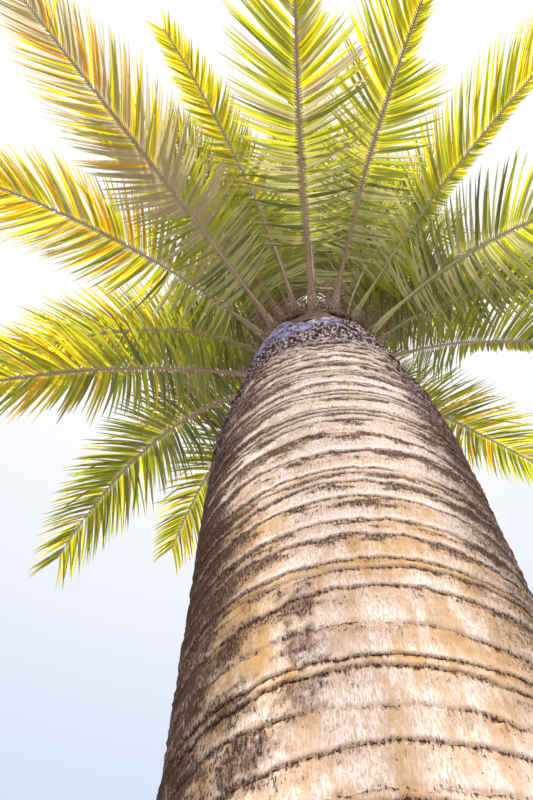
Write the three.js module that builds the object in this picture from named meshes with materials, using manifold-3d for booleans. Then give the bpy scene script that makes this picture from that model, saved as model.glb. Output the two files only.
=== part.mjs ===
// A stout feather palm: a thick ringed trunk, the collar of old leaf sheaths at its shoulder,
// and a full crown of stiff feather fronds with a closed spear leaf in the middle.
// Millimetres, +Z up, origin at the middle of the flat cut under the trunk.
// A bearing of 0 points along -Y and grows towards +X.

import * as THREE from "three";
import Module from "manifold-3d";
import { mergeVertices } from "three/addons/utils/BufferGeometryUtils.js";

const wasm = await Module();
wasm.setup();

const seatGap = 0.3; // clearance between pieces that carry each other
const leafClearance = 1.5; // least distance between leaflets of different fronds

// trunk
const footRadius = 690;
const waistRadius = 560;
const bellyRadius = 580;
const rimRadius = 412;
const rimHeight = 5400;
const crownHeight = 5450; // where the fronds' cone begins
const heartHeight = 1030; // height of the cone that carries the fronds
const heartTipRadius = 62;
const heartPower = 1.6;
const ringCount = 22; // leaf-scar ledges on the trunk
const lowestRing = 330;
const highestRing = 5210;
const ringCrowding = 0.35; // 0 spaces the ledges evenly, more crowds them towards the rim
const ringLedge = 7;
const footEdge = 130; // height up to which the foot is a straight cone
const coneSteps = 8;
const trunkSides = 26;

// collar of leaf sheaths
const collarWall = 26;
const collarBottom = 5385;
const collarTop = 5520;
const collarTooth = 45;
const collarLap = 18; // how far the ring starts inside the trunk before it is cut clear

// crown
const frondCount = 42;
const goldenAngle = 137.508;
const firstBearing = 6;
const lowestBase = 5560;
const baseStep = 17.5; // each frond starts this much above the last one
const oldRise = 40; // elevation of the oldest frond's foot, degrees
const youngRise = 84;
const risePower = 1.5; // more keeps more of the younger fronds upright
const oldBend = 75; // how far a frond turns down from its foot to its tip, degrees
const youngBend = 36;
const bendPower = 1.3;
const oldLength = 3250;
const youngLength = 2350;
const sunkDepth = 55; // how far a frond's stalk starts inside the cone before it is cut clear
const riseJitter = 2.5;
const driftJitter = 8;
const twistJitter = 22;

// stalk and rib sections, then leaflets
const stalkWidth = 104;
const stalkThickness = 44;
const ribWidth = 30;
const ribThickness = 21;
const tipWidth = 9;
const tipThickness = 8;
const stalkShare = 0.15; // share of a frond's length that carries no leaflets
const stalkSteps = 3;
const leafSteps = 21;
const pathStrides = 6; // strides of the path between two stations
const longestLeaflet = 680;
const innerSweep = 76; // angle between leaflet and rib near the stalk, degrees
const outerSweep = 54; // the outer leaflets' angle falls evenly from this to the tip's
const tipSweep = 28;
const sweepTurnFrom = 0.1; // the stretch of the leafy part on which the inner angle gives way
const sweepTurnTo = 0.5;
const leafletLift = 12; // how far the leaflets stand up from the blade's plane, degrees
const lowestLeaflet = 0.45; // length of the first leaflets as a share of the longest
const fullFrom = 0.62; // share of the leafy part at which leaflets have grown to full length
const fadeFrom = 0.55; // and from which they shorten again
const lastLeaflet = 0.48; // length of the last leaflets as a share of the longest
const youngLeaflet = 0.72; // leaflets of the youngest frond as a share of the oldest's
const youngBreadth = 0.5; // its stalk and rib as a share of the oldest's
const leafletVariation = 0.07;
const thinOnset = 0.06; // half the share of the leafy part over which a thin side sets in

// spear leaf
const spearHeight = 2150;
const spearRadius = 44;
const spearSides = 7;

const barkColour = "#c9b79a";
const sheathColour = "#8a8494";
const spearColour = "#9cab4a";
const frondColours = ["#7f9634", "#93a83a", "#6d8532", "#a9ab3c"];

// Where single fronds are turned off the rule, all in degrees: bearing and bend are added to it,
// rise and the side drift from foot to tip are set. A thin side keeps a share of its leaflets'
// length from a share of the leafy part on; its hand is 1, -1 or, for both sides, 0.
const turnedFronds = {
  0: { bearing: -3, rise: 40, bend: -3, drift: 7, thin: { hand: 1, from: 0.42, keep: 0.42 } },
  1: { bearing: 14, rise: 44, bend: 0, drift: 6 },
  2: { bearing: -12, rise: 37, bend: 0, drift: 5 },
  3: { bearing: 8, rise: 44, bend: 5, drift: 24 },
  5: { bearing: -14, rise: 52.5, bend: -7, drift: 15 },
  6: { bearing: -12, rise: 41, bend: 8, drift: 18, thin: { hand: 1, from: 0.16, keep: 0.2 } },
  7: { bearing: -4, rise: 47.5, bend: 8, drift: -20 },
  8: { bearing: -1, rise: 46.5, bend: 2, drift: 5, thin: { hand: 1, from: 0.47, keep: 0.25 } },
  10: { bearing: 0, rise: 48.5, bend: -6, drift: 0 },
  11: { bearing: 12, rise: 58, bend: 0, drift: 8 },
  12: { bearing: 5, rise: 56, bend: 4, drift: -9 },
  13: { bearing: -10, rise: 69, bend: -3, drift: -8, thin: { hand: 0, from: 0, keep: 0.6 } },
  14: { bearing: 9, rise: 49.5, bend: -5, drift: -12 },
  15: { bearing: 7, rise: 56, bend: 8, drift: -16 },
  16: { bearing: 8.5, rise: 50, bend: -1, drift: -6.5, thin: { hand: 1, from: 0.2, keep: 0.25 } },
  18: { bearing: 0, rise: 69, bend: 0, drift: -4 },
  19: { bearing: 0, rise: 73, bend: 0, drift: 0 },
  21: { bearing: -4, rise: 82, bend: -8, drift: -3, length: 0.9 },
  23: { bearing: -25, rise: 56.5, bend: 2, drift: 0 },
  24: { bearing: 0, rise: 80, bend: 0, drift: -7 },
  26: { bearing: -14, rise: 76, bend: 0, drift: 0 },
  29: { bearing: 0, rise: 82, bend: 0, drift: 0 },
};

const radians = THREE.MathUtils.degToRad;
const mix = THREE.MathUtils.lerp;

// Repeatable noise from 0 to 1 for a whole number.
function noise(n) {
  const value = Math.sin(n * 12.9898) * 43758.5453;
  return value - Math.floor(value);
}

function coneRadius(height) {
  const share = Math.max(0, height - crownHeight) / heartHeight;
  return mix(rimRadius, heartTipRadius, Math.min(1, share) ** heartPower);
}

// The trunk's outline from the ground to the rim, as a smooth curve through its main widths.
function trunkCurve() {
  return new THREE.SplineCurve([
    new THREE.Vector2(footRadius, 0),
    new THREE.Vector2(0.905 * footRadius, 260),
    new THREE.Vector2(1.04 * waistRadius, 700),
    new THREE.Vector2(waistRadius, 1600),
    new THREE.Vector2(0.985 * bellyRadius, 3000),
    new THREE.Vector2(bellyRadius, 3900),
    new THREE.Vector2(0.955 * bellyRadius, 4450),
    new THREE.Vector2(1.22 * rimRadius, 4800),
    new THREE.Vector2(1.11 * rimRadius, 5100),
    new THREE.Vector2(rimRadius, rimHeight),
  ]);
}

const trunkOutline = trunkCurve().getPoints(160);

// Radius of the smooth trunk at a height between the ground and the rim.
function trunkRadius(height) {
  const above = trunkOutline.findIndex((point) => point.y >= height);
  const [low, high] = [trunkOutline[above - 1], trunkOutline[above]];
  return mix(low.x, high.x, (height - low.y) / (high.y - low.y));
}

// Rings crowd together towards the crown.
function ringHeights() {
  const heights = [];
  for (let i = 0; i < ringCount; i++) {
    const share = i / (ringCount - 1);
    heights.push(mix(lowestRing, highestRing, share + ringCrowding * share * (1 - share)));
  }
  return heights;
}

// The lathed trunk with its ring ledges and the cone inside the crown, grown evenly by extra.
function trunkGeometry(extra) {
  const profile = [new THREE.Vector2(0, -extra), new THREE.Vector2(footRadius + extra, -extra)];
  profile.push(new THREE.Vector2(trunkRadius(footEdge) + extra, footEdge));
  for (const height of ringHeights()) {
    const radius = trunkRadius(height);
    profile.push(new THREE.Vector2(radius + ringLedge + extra, height));
    profile.push(new THREE.Vector2(radius - ringLedge / 2 + extra, height + 2 * ringLedge));
  }
  profile.push(new THREE.Vector2(rimRadius + extra, rimHeight));
  for (let i = 0; i <= coneSteps; i++) {
    const height = crownHeight + heartHeight * (i / coneSteps);
    profile.push(new THREE.Vector2(coneRadius(height) + extra, height + (i === coneSteps ? extra : 0)));
  }
  profile.push(new THREE.Vector2(0, crownHeight + heartHeight + extra));
  return new THREE.LatheGeometry(profile, trunkSides).rotateX(Math.PI / 2);
}

// A closed ring of clasping sheaths round the rim, with a ragged upper edge.
function collarGeometry() {
  const geometry = new THREE.BufferGeometry();
  const positions = [];
  for (let i = 0; i < trunkSides; i++) {
    const turn = (2 * Math.PI * i) / trunkSides;
    const tooth = collarTooth * (2 * noise(i + 3) - 1);
    const wall = collarWall * (0.75 + 0.5 * noise(i + 71));
    const section = [
      [rimRadius - collarLap, collarBottom + 5],
      [rimRadius + 0.5 * wall, collarBottom],
      [rimRadius + wall, (collarBottom + collarTop) / 2],
      [rimRadius + 0.4 * wall, collarTop + tooth],
      [rimRadius - collarLap, collarTop + tooth - 12],
    ];
    for (const [radius, height] of section) {
      positions.push(radius * Math.sin(turn), -radius * Math.cos(turn), height);
    }
  }
  const index = [];
  const rows = 5;
  for (let i = 0; i < trunkSides; i++) {
    const next = (i + 1) % trunkSides;
    for (let j = 0; j < rows; j++) {
      const up = (j + 1) % rows;
      pushQuad(index, rows * i + j, rows * next + j, rows * next + up, rows * i + up);
    }
  }
  geometry.setAttribute("position", new THREE.Float32BufferAttribute(positions, 3));
  geometry.setIndex(index);
  return geometry;
}

function pushQuad(index, a, b, c, d) {
  index.push(a, b, c, a, c, d);
}

// What sets one frond: its place on the cone, its rise, bend, drift, twist and length.
function frondPlan(k) {
  const age = 1 - k / (frondCount - 1);
  const foot = lowestBase + baseStep * k;
  const turned = turnedFronds[k] ?? {};
  const bearing = firstBearing + goldenAngle * k;
  const rise = mix(youngRise, oldRise, age ** risePower) + riseJitter * (2 * noise(k + 11) - 1);
  return {
    number: k,
    age,
    foot,
    footRadius: coneRadius(foot),
    bearing: bearing - 360 * Math.round(bearing / 360) + (turned.bearing ?? 0),
    rise: turned.rise ?? rise,
    bend: mix(youngBend, oldBend, age) + (turned.bend ?? 0),
    drift: turned.drift ?? driftJitter * (2 * noise(k + 37) - 1),
    twist: twistJitter * (2 * noise(k + 53) - 1),
    length: mix(youngLength, oldLength, age ** 0.5) * (turned.length ?? 1),
    breadth: mix(youngBreadth, 1, age ** 0.7),
    thin: turned.thin,
  };
}

// Direction, side and upper side of the frond at a share s of its length.
function frondFrame(plan, s) {
  const rise = radians(plan.rise - plan.bend * s ** bendPower);
  const bearing = radians(plan.bearing + plan.drift * s);
  const twist = radians(plan.twist * s);
  const along = new THREE.Vector3(
    Math.sin(bearing) * Math.cos(rise),
    -Math.cos(bearing) * Math.cos(rise),
    Math.sin(rise),
  );
  const flat = new THREE.Vector3(Math.cos(bearing), Math.sin(bearing), 0);
  const side = flat.applyAxisAngle(along, -twist);
  const upper = new THREE.Vector3().crossVectors(along, side);
  return { along, side, upper };
}

// The stations along stalk and rib, each with its centre, frame and section.
function frondStations(plan) {
  const start = radians(plan.bearing);
  const reach = plan.footRadius - sunkDepth;
  const centre = new THREE.Vector3(reach * Math.sin(start), -reach * Math.cos(start), plan.foot);
  const stations = [];
  const shares = [];
  for (let i = 0; i < stalkSteps; i++) shares.push((stalkShare * i) / stalkSteps);
  for (let i = 0; i <= leafSteps; i++) shares.push(mix(stalkShare, 1, i / leafSteps));
  shares.forEach((share, i) => {
    const before = i === 0 ? 0 : shares[i - 1];
    for (let j = 0; j < pathStrides && i > 0; j++) {
      const s = mix(before, share, (j + 0.5) / pathStrides);
      centre.addScaledVector(frondFrame(plan, s).along, (plan.length * (share - before)) / pathStrides);
    }
    const onStalk = Math.min(1, share / stalkShare) ** 0.6;
    const onRib = Math.max(0, share - stalkShare) / (1 - stalkShare);
    const width = mix(mix(stalkWidth, ribWidth, onStalk), tipWidth, onRib) * plan.breadth;
    const thickness = mix(mix(stalkThickness, ribThickness, onStalk), tipThickness, onRib) * plan.breadth;
    const frame = frondFrame(plan, share);
    stations.push({ centre: centre.clone(), frame, width, thickness });
  });
  return stations;
}

// The four corners of a station: upper left, upper right, lower right, lower left.
function stationCorners({ centre, frame, width, thickness }) {
  return [[-1, 1], [1, 1], [1, -1], [-1, -1]].map(([across, over]) =>
    centre
      .clone()
      .addScaledVector(frame.side, (across * width) / 2)
      .addScaledVector(frame.upper, (over * thickness) / 2),
  );
}

// How much of a leaflet's length a frond's thin side keeps at a share of the leafy part.
function keptLength({ thin }, share, hand) {
  if (!thin || hand * thin.hand < 0) return 1;
  const onset = THREE.MathUtils.smoothstep(share, thin.from - thinOnset, thin.from + thinOnset);
  return mix(1, thin.keep, onset);
}

// Where the tip of the leaflet on one side of step i lies. Leaflets lengthen up to the middle of
// the frond and shorten to its tip, sweep further forward on the way, and stand up in a V.
function leafletTip(plan, stations, i, hand) {
  const share = (i + 0.5) / leafSteps;
  const swell = mix(lowestLeaflet, 1, Math.sin((Math.PI / 2) * Math.min(1, share / fullFrom)));
  const fade = mix(1, lastLeaflet, Math.max(0, (share - fadeFrom) / (1 - fadeFrom)) ** 1.5);
  const vary = 1 + leafletVariation * (2 * noise(97 * plan.number + 2 * i + (hand > 0 ? 1 : 0)) - 1);
  const full = longestLeaflet * swell * fade * vary * mix(youngLeaflet, 1, plan.age ** 0.6);
  const length = full * keptLength(plan, share, hand);
  const turn = THREE.MathUtils.smoothstep(share, sweepTurnFrom, sweepTurnTo);
  const sweep = radians(mix(innerSweep, mix(outerSweep, tipSweep, share), turn));
  const lift = radians(leafletLift);
  const near = stations[stalkSteps + i];
  const far = stations[stalkSteps + i + 1];
  const { along, side, upper } = near.frame;
  return near.centre
    .clone()
    .lerp(far.centre, 0.5)
    .addScaledVector(along, length * Math.cos(sweep))
    .addScaledVector(side, hand * length * Math.sin(sweep) * Math.cos(lift))
    .addScaledVector(upper, length * Math.sin(sweep) * Math.sin(lift));
}

function boxOf(points) {
  return new THREE.Box3().setFromPoints(points).expandByScalar(leafClearance);
}

function normalsAndEdges(points, faces) {
  const normals = [];
  const edges = [];
  for (const [a, b, c] of faces) {
    const first = new THREE.Vector3().subVectors(points[b], points[a]);
    const second = new THREE.Vector3().subVectors(points[c], points[a]);
    normals.push(new THREE.Vector3().crossVectors(first, second).normalize());
    edges.push(first.normalize(), second.normalize());
  }
  return { points, normals, edges, box: boxOf(points) };
}

// Two convex bodies are apart if one of their face normals or crossed edges has a gap between them.
function apart(one, other) {
  if (!one.box.intersectsBox(other.box)) return true;
  const axes = [...one.normals, ...other.normals];
  for (const edge of one.edges) {
    for (const across of other.edges) axes.push(new THREE.Vector3().crossVectors(edge, across));
  }
  return axes.some((axis) => {
    const length = axis.length();
    if (length < 1e-6) return false;
    const first = one.points.map((point) => point.dot(axis) / length);
    const second = other.points.map((point) => point.dot(axis) / length);
    const gap = Math.max(
      Math.min(...first) - Math.max(...second),
      Math.min(...second) - Math.max(...first),
    );
    return gap > leafClearance;
  });
}

const blockFaces = [[0, 1, 2], [4, 5, 6], [0, 4, 5], [1, 5, 6], [2, 6, 7], [3, 7, 4]];
const leafletFaces = [[0, 1, 4], [1, 2, 4], [2, 3, 4], [3, 0, 4], [0, 1, 2]];

// All fronds' ribs come first. A leaflet is then kept only where it stays clear of every other
// frond's rib and of the leaflets that are there already.
function layOutCrown() {
  const fronds = [];
  for (let k = 0; k < frondCount; k++) {
    const plan = frondPlan(k);
    const stations = frondStations(plan);
    const corners = stations.map(stationCorners);
    const ribs = [];
    for (let i = 1; i + 1 < corners.length; i++) {
      ribs.push(normalsAndEdges([...corners[i], ...corners[i + 1]], blockFaces));
    }
    fronds.push({ plan, stations, corners, bodies: ribs, leaflets: [], box: new THREE.Box3() });
  }
  for (const frond of fronds) {
    for (const body of frond.bodies) frond.box.union(body.box);
  }
  for (let i = 0; i < leafSteps; i++) {
    for (const frond of fronds) {
      for (const hand of [1, -1]) tryLeaflet(fronds, frond, i, hand);
    }
  }
  return fronds;
}

function tryLeaflet(fronds, frond, i, hand) {
  const tip = leafletTip(frond.plan, frond.stations, i, hand);
  const near = frond.corners[stalkSteps + i];
  const far = frond.corners[stalkSteps + i + 1];
  const [upper, lower] = hand > 0 ? [1, 2] : [0, 3];
  const body = normalsAndEdges([near[upper], far[upper], far[lower], near[lower], tip], leafletFaces);
  const clear = fronds.every(
    (other) =>
      other === frond ||
      !other.box.intersectsBox(body.box) ||
      other.bodies.every((piece) => apart(piece, body)),
  );
  if (!clear) return;
  frond.leaflets.push({ i, hand, tip });
  frond.bodies.push(body);
  frond.box.union(body.box);
}

// One closed blade: rib and stalk as a row of blocks, and on each side of each step a leaflet
// that is a flat spike on the rib's side, so that the gaps between leaflets reach the rib.
function frondGeometry({ corners, leaflets }) {
  const points = corners.flat();
  const index = [];
  const tips = new Map();
  for (const { i, hand, tip } of leaflets) {
    tips.set(`${stalkSteps + i},${hand > 0 ? 1 : 3}`, points.length);
    points.push(tip);
  }
  for (let i = 0; i + 1 < corners.length; i++) {
    for (let j = 0; j < 4; j++) {
      const around = (j + 1) % 4;
      const ring = [4 * i + j, 4 * i + 4 + j, 4 * i + 4 + around, 4 * i + around];
      const tip = tips.get(`${i},${j}`);
      if (tip === undefined) pushQuad(index, ...ring);
      else ring.forEach((corner, n) => index.push(corner, ring[(n + 1) % 4], tip));
    }
  }
  const last = 4 * (corners.length - 1);
  pushQuad(index, 0, 1, 2, 3);
  pushQuad(index, last + 3, last + 2, last + 1, last);
  const geometry = new THREE.BufferGeometry().setFromPoints(points);
  geometry.setIndex(index);
  return geometry;
}

function toSolid(geometry) {
  const bare = geometry.clone();
  bare.deleteAttribute("normal");
  bare.deleteAttribute("uv");
  const merged = mergeVertices(bare, 1e-3);
  return new wasm.Manifold(
    new wasm.Mesh({
      numProp: 3,
      vertProperties: new Float32Array(merged.attributes.position.array),
      triVerts: new Uint32Array(merged.index.array),
    }),
  );
}

function toGeometry(solid) {
  const { vertProperties, triVerts, numProp } = solid.getMesh();
  const geometry = new THREE.BufferGeometry();
  const positions = new THREE.InterleavedBuffer(vertProperties, numProp);
  geometry.setAttribute("position", new THREE.InterleavedBufferAttribute(positions, 3, 0));
  geometry.setIndex(Array.from(triVerts));
  return geometry;
}

function named(name, geometry, color, roughness) {
  const material = new THREE.MeshStandardMaterial({ color, roughness, metalness: 0 });
  const mesh = new THREE.Mesh(geometry, material);
  mesh.name = name;
  return mesh;
}

const palm = new THREE.Group();
palm.add(named("trunk", trunkGeometry(0), barkColour, 0.9));

const carrier = toSolid(trunkGeometry(seatGap));
const collar = toSolid(collarGeometry()).subtract(carrier);
palm.add(named("sheath_collar", toGeometry(collar), sheathColour, 0.8));

const spear = new THREE.ConeGeometry(spearRadius, spearHeight, spearSides).rotateX(Math.PI / 2);
const spearLeaf = named("spear_leaf", spear, spearColour, 0.55);
spearLeaf.position.z = crownHeight + heartHeight + seatGap + spearHeight / 2;
palm.add(spearLeaf);

for (const frond of layOutCrown()) {
  const k = frond.plan.number;
  const blade = toSolid(frondGeometry(frond)).subtract(carrier);
  const name = `frond_${String(k + 1).padStart(2, "0")}`;
  palm.add(named(name, toGeometry(blade), frondColours[k % frondColours.length], 0.55));
}

export default palm;
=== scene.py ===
import math

import bpy
import numpy as np
from mathutils import Matrix, Vector


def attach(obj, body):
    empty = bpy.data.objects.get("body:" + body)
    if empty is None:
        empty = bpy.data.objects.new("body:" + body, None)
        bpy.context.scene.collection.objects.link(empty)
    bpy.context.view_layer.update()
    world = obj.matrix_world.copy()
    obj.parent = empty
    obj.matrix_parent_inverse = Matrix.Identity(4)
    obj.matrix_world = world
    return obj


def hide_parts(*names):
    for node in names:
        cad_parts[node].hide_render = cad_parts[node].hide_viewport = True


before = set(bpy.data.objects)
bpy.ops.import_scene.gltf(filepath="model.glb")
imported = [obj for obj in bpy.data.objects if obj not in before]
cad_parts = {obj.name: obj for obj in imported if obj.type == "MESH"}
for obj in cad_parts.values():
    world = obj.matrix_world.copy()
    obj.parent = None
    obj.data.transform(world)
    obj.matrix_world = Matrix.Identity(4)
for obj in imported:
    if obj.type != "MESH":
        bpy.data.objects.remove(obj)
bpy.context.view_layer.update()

# A stout feather palm in metres, +Z up, with its origin in the middle of the cut under the trunk.
# A bearing or a turn of 0 points along -Y, to the front, and grows towards +X, as in the model that
# this script dresses. Colours are linear red, green and blue.

frondNodes = sorted(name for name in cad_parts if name.startswith("frond_"))
print("frame loaded:", len(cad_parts), "nodes,", len(frondNodes), "fronds")


def lerp(start, end, share):
    return start + (end - start) * share


# The cubic fade 3t^2 - 2t^3 of t held between 0 and 1.
def fade(t):
    t = np.clip(t, 0, 1)
    return t * t * (3 - 2 * t)


# Repeatable noise from 0 to 1 for a whole number.
def hashed(number):
    value = math.sin(number * 12.9898) * 43758.5453
    return value - math.floor(value)


def unit(vectors):
    return vectors / np.maximum(np.linalg.norm(vectors, axis=-1, keepdims=True), 1e-9)


# Degrees brought to between -180 and 180.
def wrapped(degrees):
    return degrees - 360 * np.round(degrees / 360)


# Points this far from the trunk's axis, at an angle in radians and a height.
def roundAxis(radius, angle, height):
    return np.stack([radius * np.sin(angle), -radius * np.cos(angle), height], -1)


# Value noise on the unrolled trunk: random numbers at the corners of cells, blended by the cubic
# fade. turn runs from 0 to 1 round the trunk, where the cells close on themselves.
def wallNoise(turn, height, around, cell, seed):
    rise = height / cell + 1
    grid = np.random.default_rng(seed).random((int(rise.max()) + 3, around))
    turn = turn * around
    column = np.floor(turn).astype(int)
    row = np.floor(rise).astype(int)
    across = fade(turn - column)
    left = column % around
    right = (column + 1) % around
    low = lerp(grid[row, left], grid[row, right], across)
    high = lerp(grid[row + 1, left], grid[row + 1, right], across)
    return lerp(low, high, fade(rise - row))


# Quads of a grid with this many rows and columns; a ring closes its columns on themselves.
def gridQuads(rows, columns, ring=False):
    row, column = np.meshgrid(np.arange(rows - 1), np.arange(columns if ring else columns - 1), indexing="ij")
    after = (column + 1) % columns
    corners = [row * columns + column, row * columns + after, (row + 1) * columns + after]
    return np.stack(corners + [(row + 1) * columns + column], -1).reshape(-1, 4)


# The same faces for each of a number of copies whose points follow each other.
def repeated(faces, copies, pointsEach):
    offsets = np.arange(copies)[:, None, None] * pointsEach
    return (faces[None] + offsets).reshape(-1, faces.shape[1])


# Faces of a wall of rows round the axis whose two ends close on the two points that follow it.
def drumFaces(rows, columns):
    around = np.arange(columns)
    after = (around + 1) % columns
    lid = (rows - 1) * columns
    pole = np.full(columns, rows * columns)
    below = np.stack([after, around, pole], -1)
    above = np.stack([lid + around, lid + after, pole + 1], -1)
    return [gridQuads(rows, columns, True), below, above]


# A mesh from points and from groups of faces, each group with its own number of corners.
# Attributes hold one value for each point.
def makePiece(name, points, faceGroups, material, attributes=None):
    mesh = bpy.data.meshes.new(name)
    points = np.asarray(points, np.float32).reshape(-1, 3)
    sizes = np.concatenate([np.full(len(group), group.shape[1]) for group in faceGroups])
    corners = np.concatenate([group.ravel() for group in faceGroups])
    mesh.vertices.add(len(points))
    mesh.vertices.foreach_set("co", points.ravel())
    mesh.loops.add(len(corners))
    mesh.loops.foreach_set("vertex_index", corners.astype(np.int32))
    mesh.polygons.add(len(sizes))
    mesh.polygons.foreach_set("loop_start", (np.cumsum(sizes) - sizes).astype(np.int32))
    mesh.polygons.foreach_set("use_smooth", np.ones(len(sizes), bool))
    for key, values in (attributes or {}).items():
        layer = mesh.attributes.new(key, "FLOAT", "POINT")
        layer.data.foreach_set("value", np.asarray(values, np.float32).ravel())
    mesh.update(calc_edges=True)
    mesh.validate()
    mesh.materials.append(material)
    piece = bpy.data.objects.new(name, mesh)
    bpy.context.scene.collection.objects.link(piece)
    triangles = int((sizes - 2).sum())
    print(f"{name}: {triangles} triangles")
    return piece


# Every piece rides on the one body. It takes the place of these nodes of the model.
def settle(piece, nodes):
    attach(piece, "root")
    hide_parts(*nodes)


# A number socket of a finish. Arithmetic on it adds Math nodes.
class Wire:
    def __init__(self, finish, socket):
        self.finish = finish
        self.socket = socket

    def maths(self, operation, *values):
        return self.finish.node("ShaderNodeMath", {"operation": operation}, dict(enumerate(values)))

    def __add__(self, other):
        return self.maths("ADD", self, other)

    def __radd__(self, other):
        return self.maths("ADD", other, self)

    def __sub__(self, other):
        return self.maths("SUBTRACT", self, other)

    def __rsub__(self, other):
        return self.maths("SUBTRACT", other, self)

    def __mul__(self, other):
        return self.maths("MULTIPLY", self, other)

    def __rmul__(self, other):
        return self.maths("MULTIPLY", other, self)

    def size(self):
        return self.maths("ABSOLUTE", self)

    def least(self, other):
        return self.maths("MINIMUM", self, other)

    def most(self, other):
        return self.maths("MAXIMUM", self, other)

    # 0 at start and 1 at end with a smooth rise between them; start may lie above end.
    def ramp(self, start, end):
        settings = {"interpolation_type": "SMOOTHSTEP", "clamp": True}
        if isinstance(start, Wire) or isinstance(end, Wire) or start < end:
            limits = {"Value": self, "From Min": start, "From Max": end, "To Min": 0.0, "To Max": 1.0}
        else:
            limits = {"Value": self, "From Min": end, "From Max": start, "To Min": 1.0, "To Max": 0.0}
        return self.finish.node("ShaderNodeMapRange", settings, limits)

    # Noise from 0 to 1 made to swing about 0, from minus to plus half this amount.
    def swing(self, amount):
        return (self - 0.5) * amount


# The nodes of one material, or of the sky. node() takes a type, its settings, and the values or
# links of its sockets.
class Finish:
    def __init__(self, owner):
        self.owner = owner
        owner.use_nodes = True
        self.tree = owner.node_tree
        self.tree.nodes.clear()

    def node(self, kind, settings=None, sockets=None, output=0):
        made = self.tree.nodes.new(kind)
        for key, value in (settings or {}).items():
            setattr(made, key, value)
        for key, value in (sockets or {}).items():
            if isinstance(value, Wire):
                self.tree.links.new(value.socket, made.inputs[key])
            else:
                made.inputs[key].default_value = value
        return Wire(self, made.outputs[output]) if len(made.outputs) else None

    def place(self):
        return self.node("ShaderNodeTexCoord", output="Object")

    def axis(self, vector, name):
        return self.node("ShaderNodeSeparateXYZ", {}, {0: vector}, output=name)

    def attribute(self, name):
        return self.node("ShaderNodeAttribute", {"attribute_name": name}, output="Fac")

    def stretched(self, vector, factors):
        return self.node("ShaderNodeVectorMath", {"operation": "MULTIPLY"}, {0: vector, 1: factors})

    def grain(self, vector, scale, detail=3.0, roughness=0.55, distortion=0.0):
        sockets = {"Vector": vector, "Scale": scale, "Detail": detail, "Roughness": roughness}
        sockets["Distortion"] = distortion
        return self.node("ShaderNodeTexNoise", {}, sockets)

    def mixed(self, share, first, second, blend="MIX"):
        first = first if isinstance(first, Wire) else (*first, 1.0)
        second = second if isinstance(second, Wire) else (*second, 1.0)
        settings = {"data_type": "RGBA", "blend_type": blend, "clamp_factor": True}
        return self.node("ShaderNodeMix", settings, {0: share, 6: first, 7: second}, output=2)

    def bumped(self, height, strength, distance):
        sockets = {"Height": height, "Strength": strength, "Distance": distance}
        return self.node("ShaderNodeBump", {}, sockets)

    # Starts the tone with one of a set of colours. lay() then lays others of the set over it.
    def begin(self, colours, first):
        self.colours = colours
        self.tone = colours[first]

    def lay(self, share, colour, blend="MIX"):
        self.tone = self.mixed(share, self.tone, self.colours[colour], blend)

    def principled(self, sockets):
        return self.node("ShaderNodeBsdfPrincipled", {}, sockets)

    def finished(self, shader):
        self.node("ShaderNodeOutputMaterial", {}, {"Surface": shader})
        return self.owner

    # The finished material with one Principled shader.
    def surfaced(self, sockets):
        return self.finished(self.principled(sockets))


trunkShape = {
    "outline": (  # height and radius of the smooth trunk
        (0.0, 0.690), (0.260, 0.624), (0.700, 0.582), (1.600, 0.560), (3.000, 0.571),
        (3.900, 0.580), (4.450, 0.554), (4.800, 0.503), (5.100, 0.457), (5.400, 0.412),
    ),
    "outlineSteps": 400,
    "rimHeight": 5.400,
    "rimRadius": 0.412,
    "crownHeight": 5.450,
    "heartHeight": 1.030,
    "heartTipRadius": 0.062,
    "heartPower": 1.6,
    "rimSag": (0.11, -8, 20),  # depth of the dip in the rim, its bearing and its width in degrees
}

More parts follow.
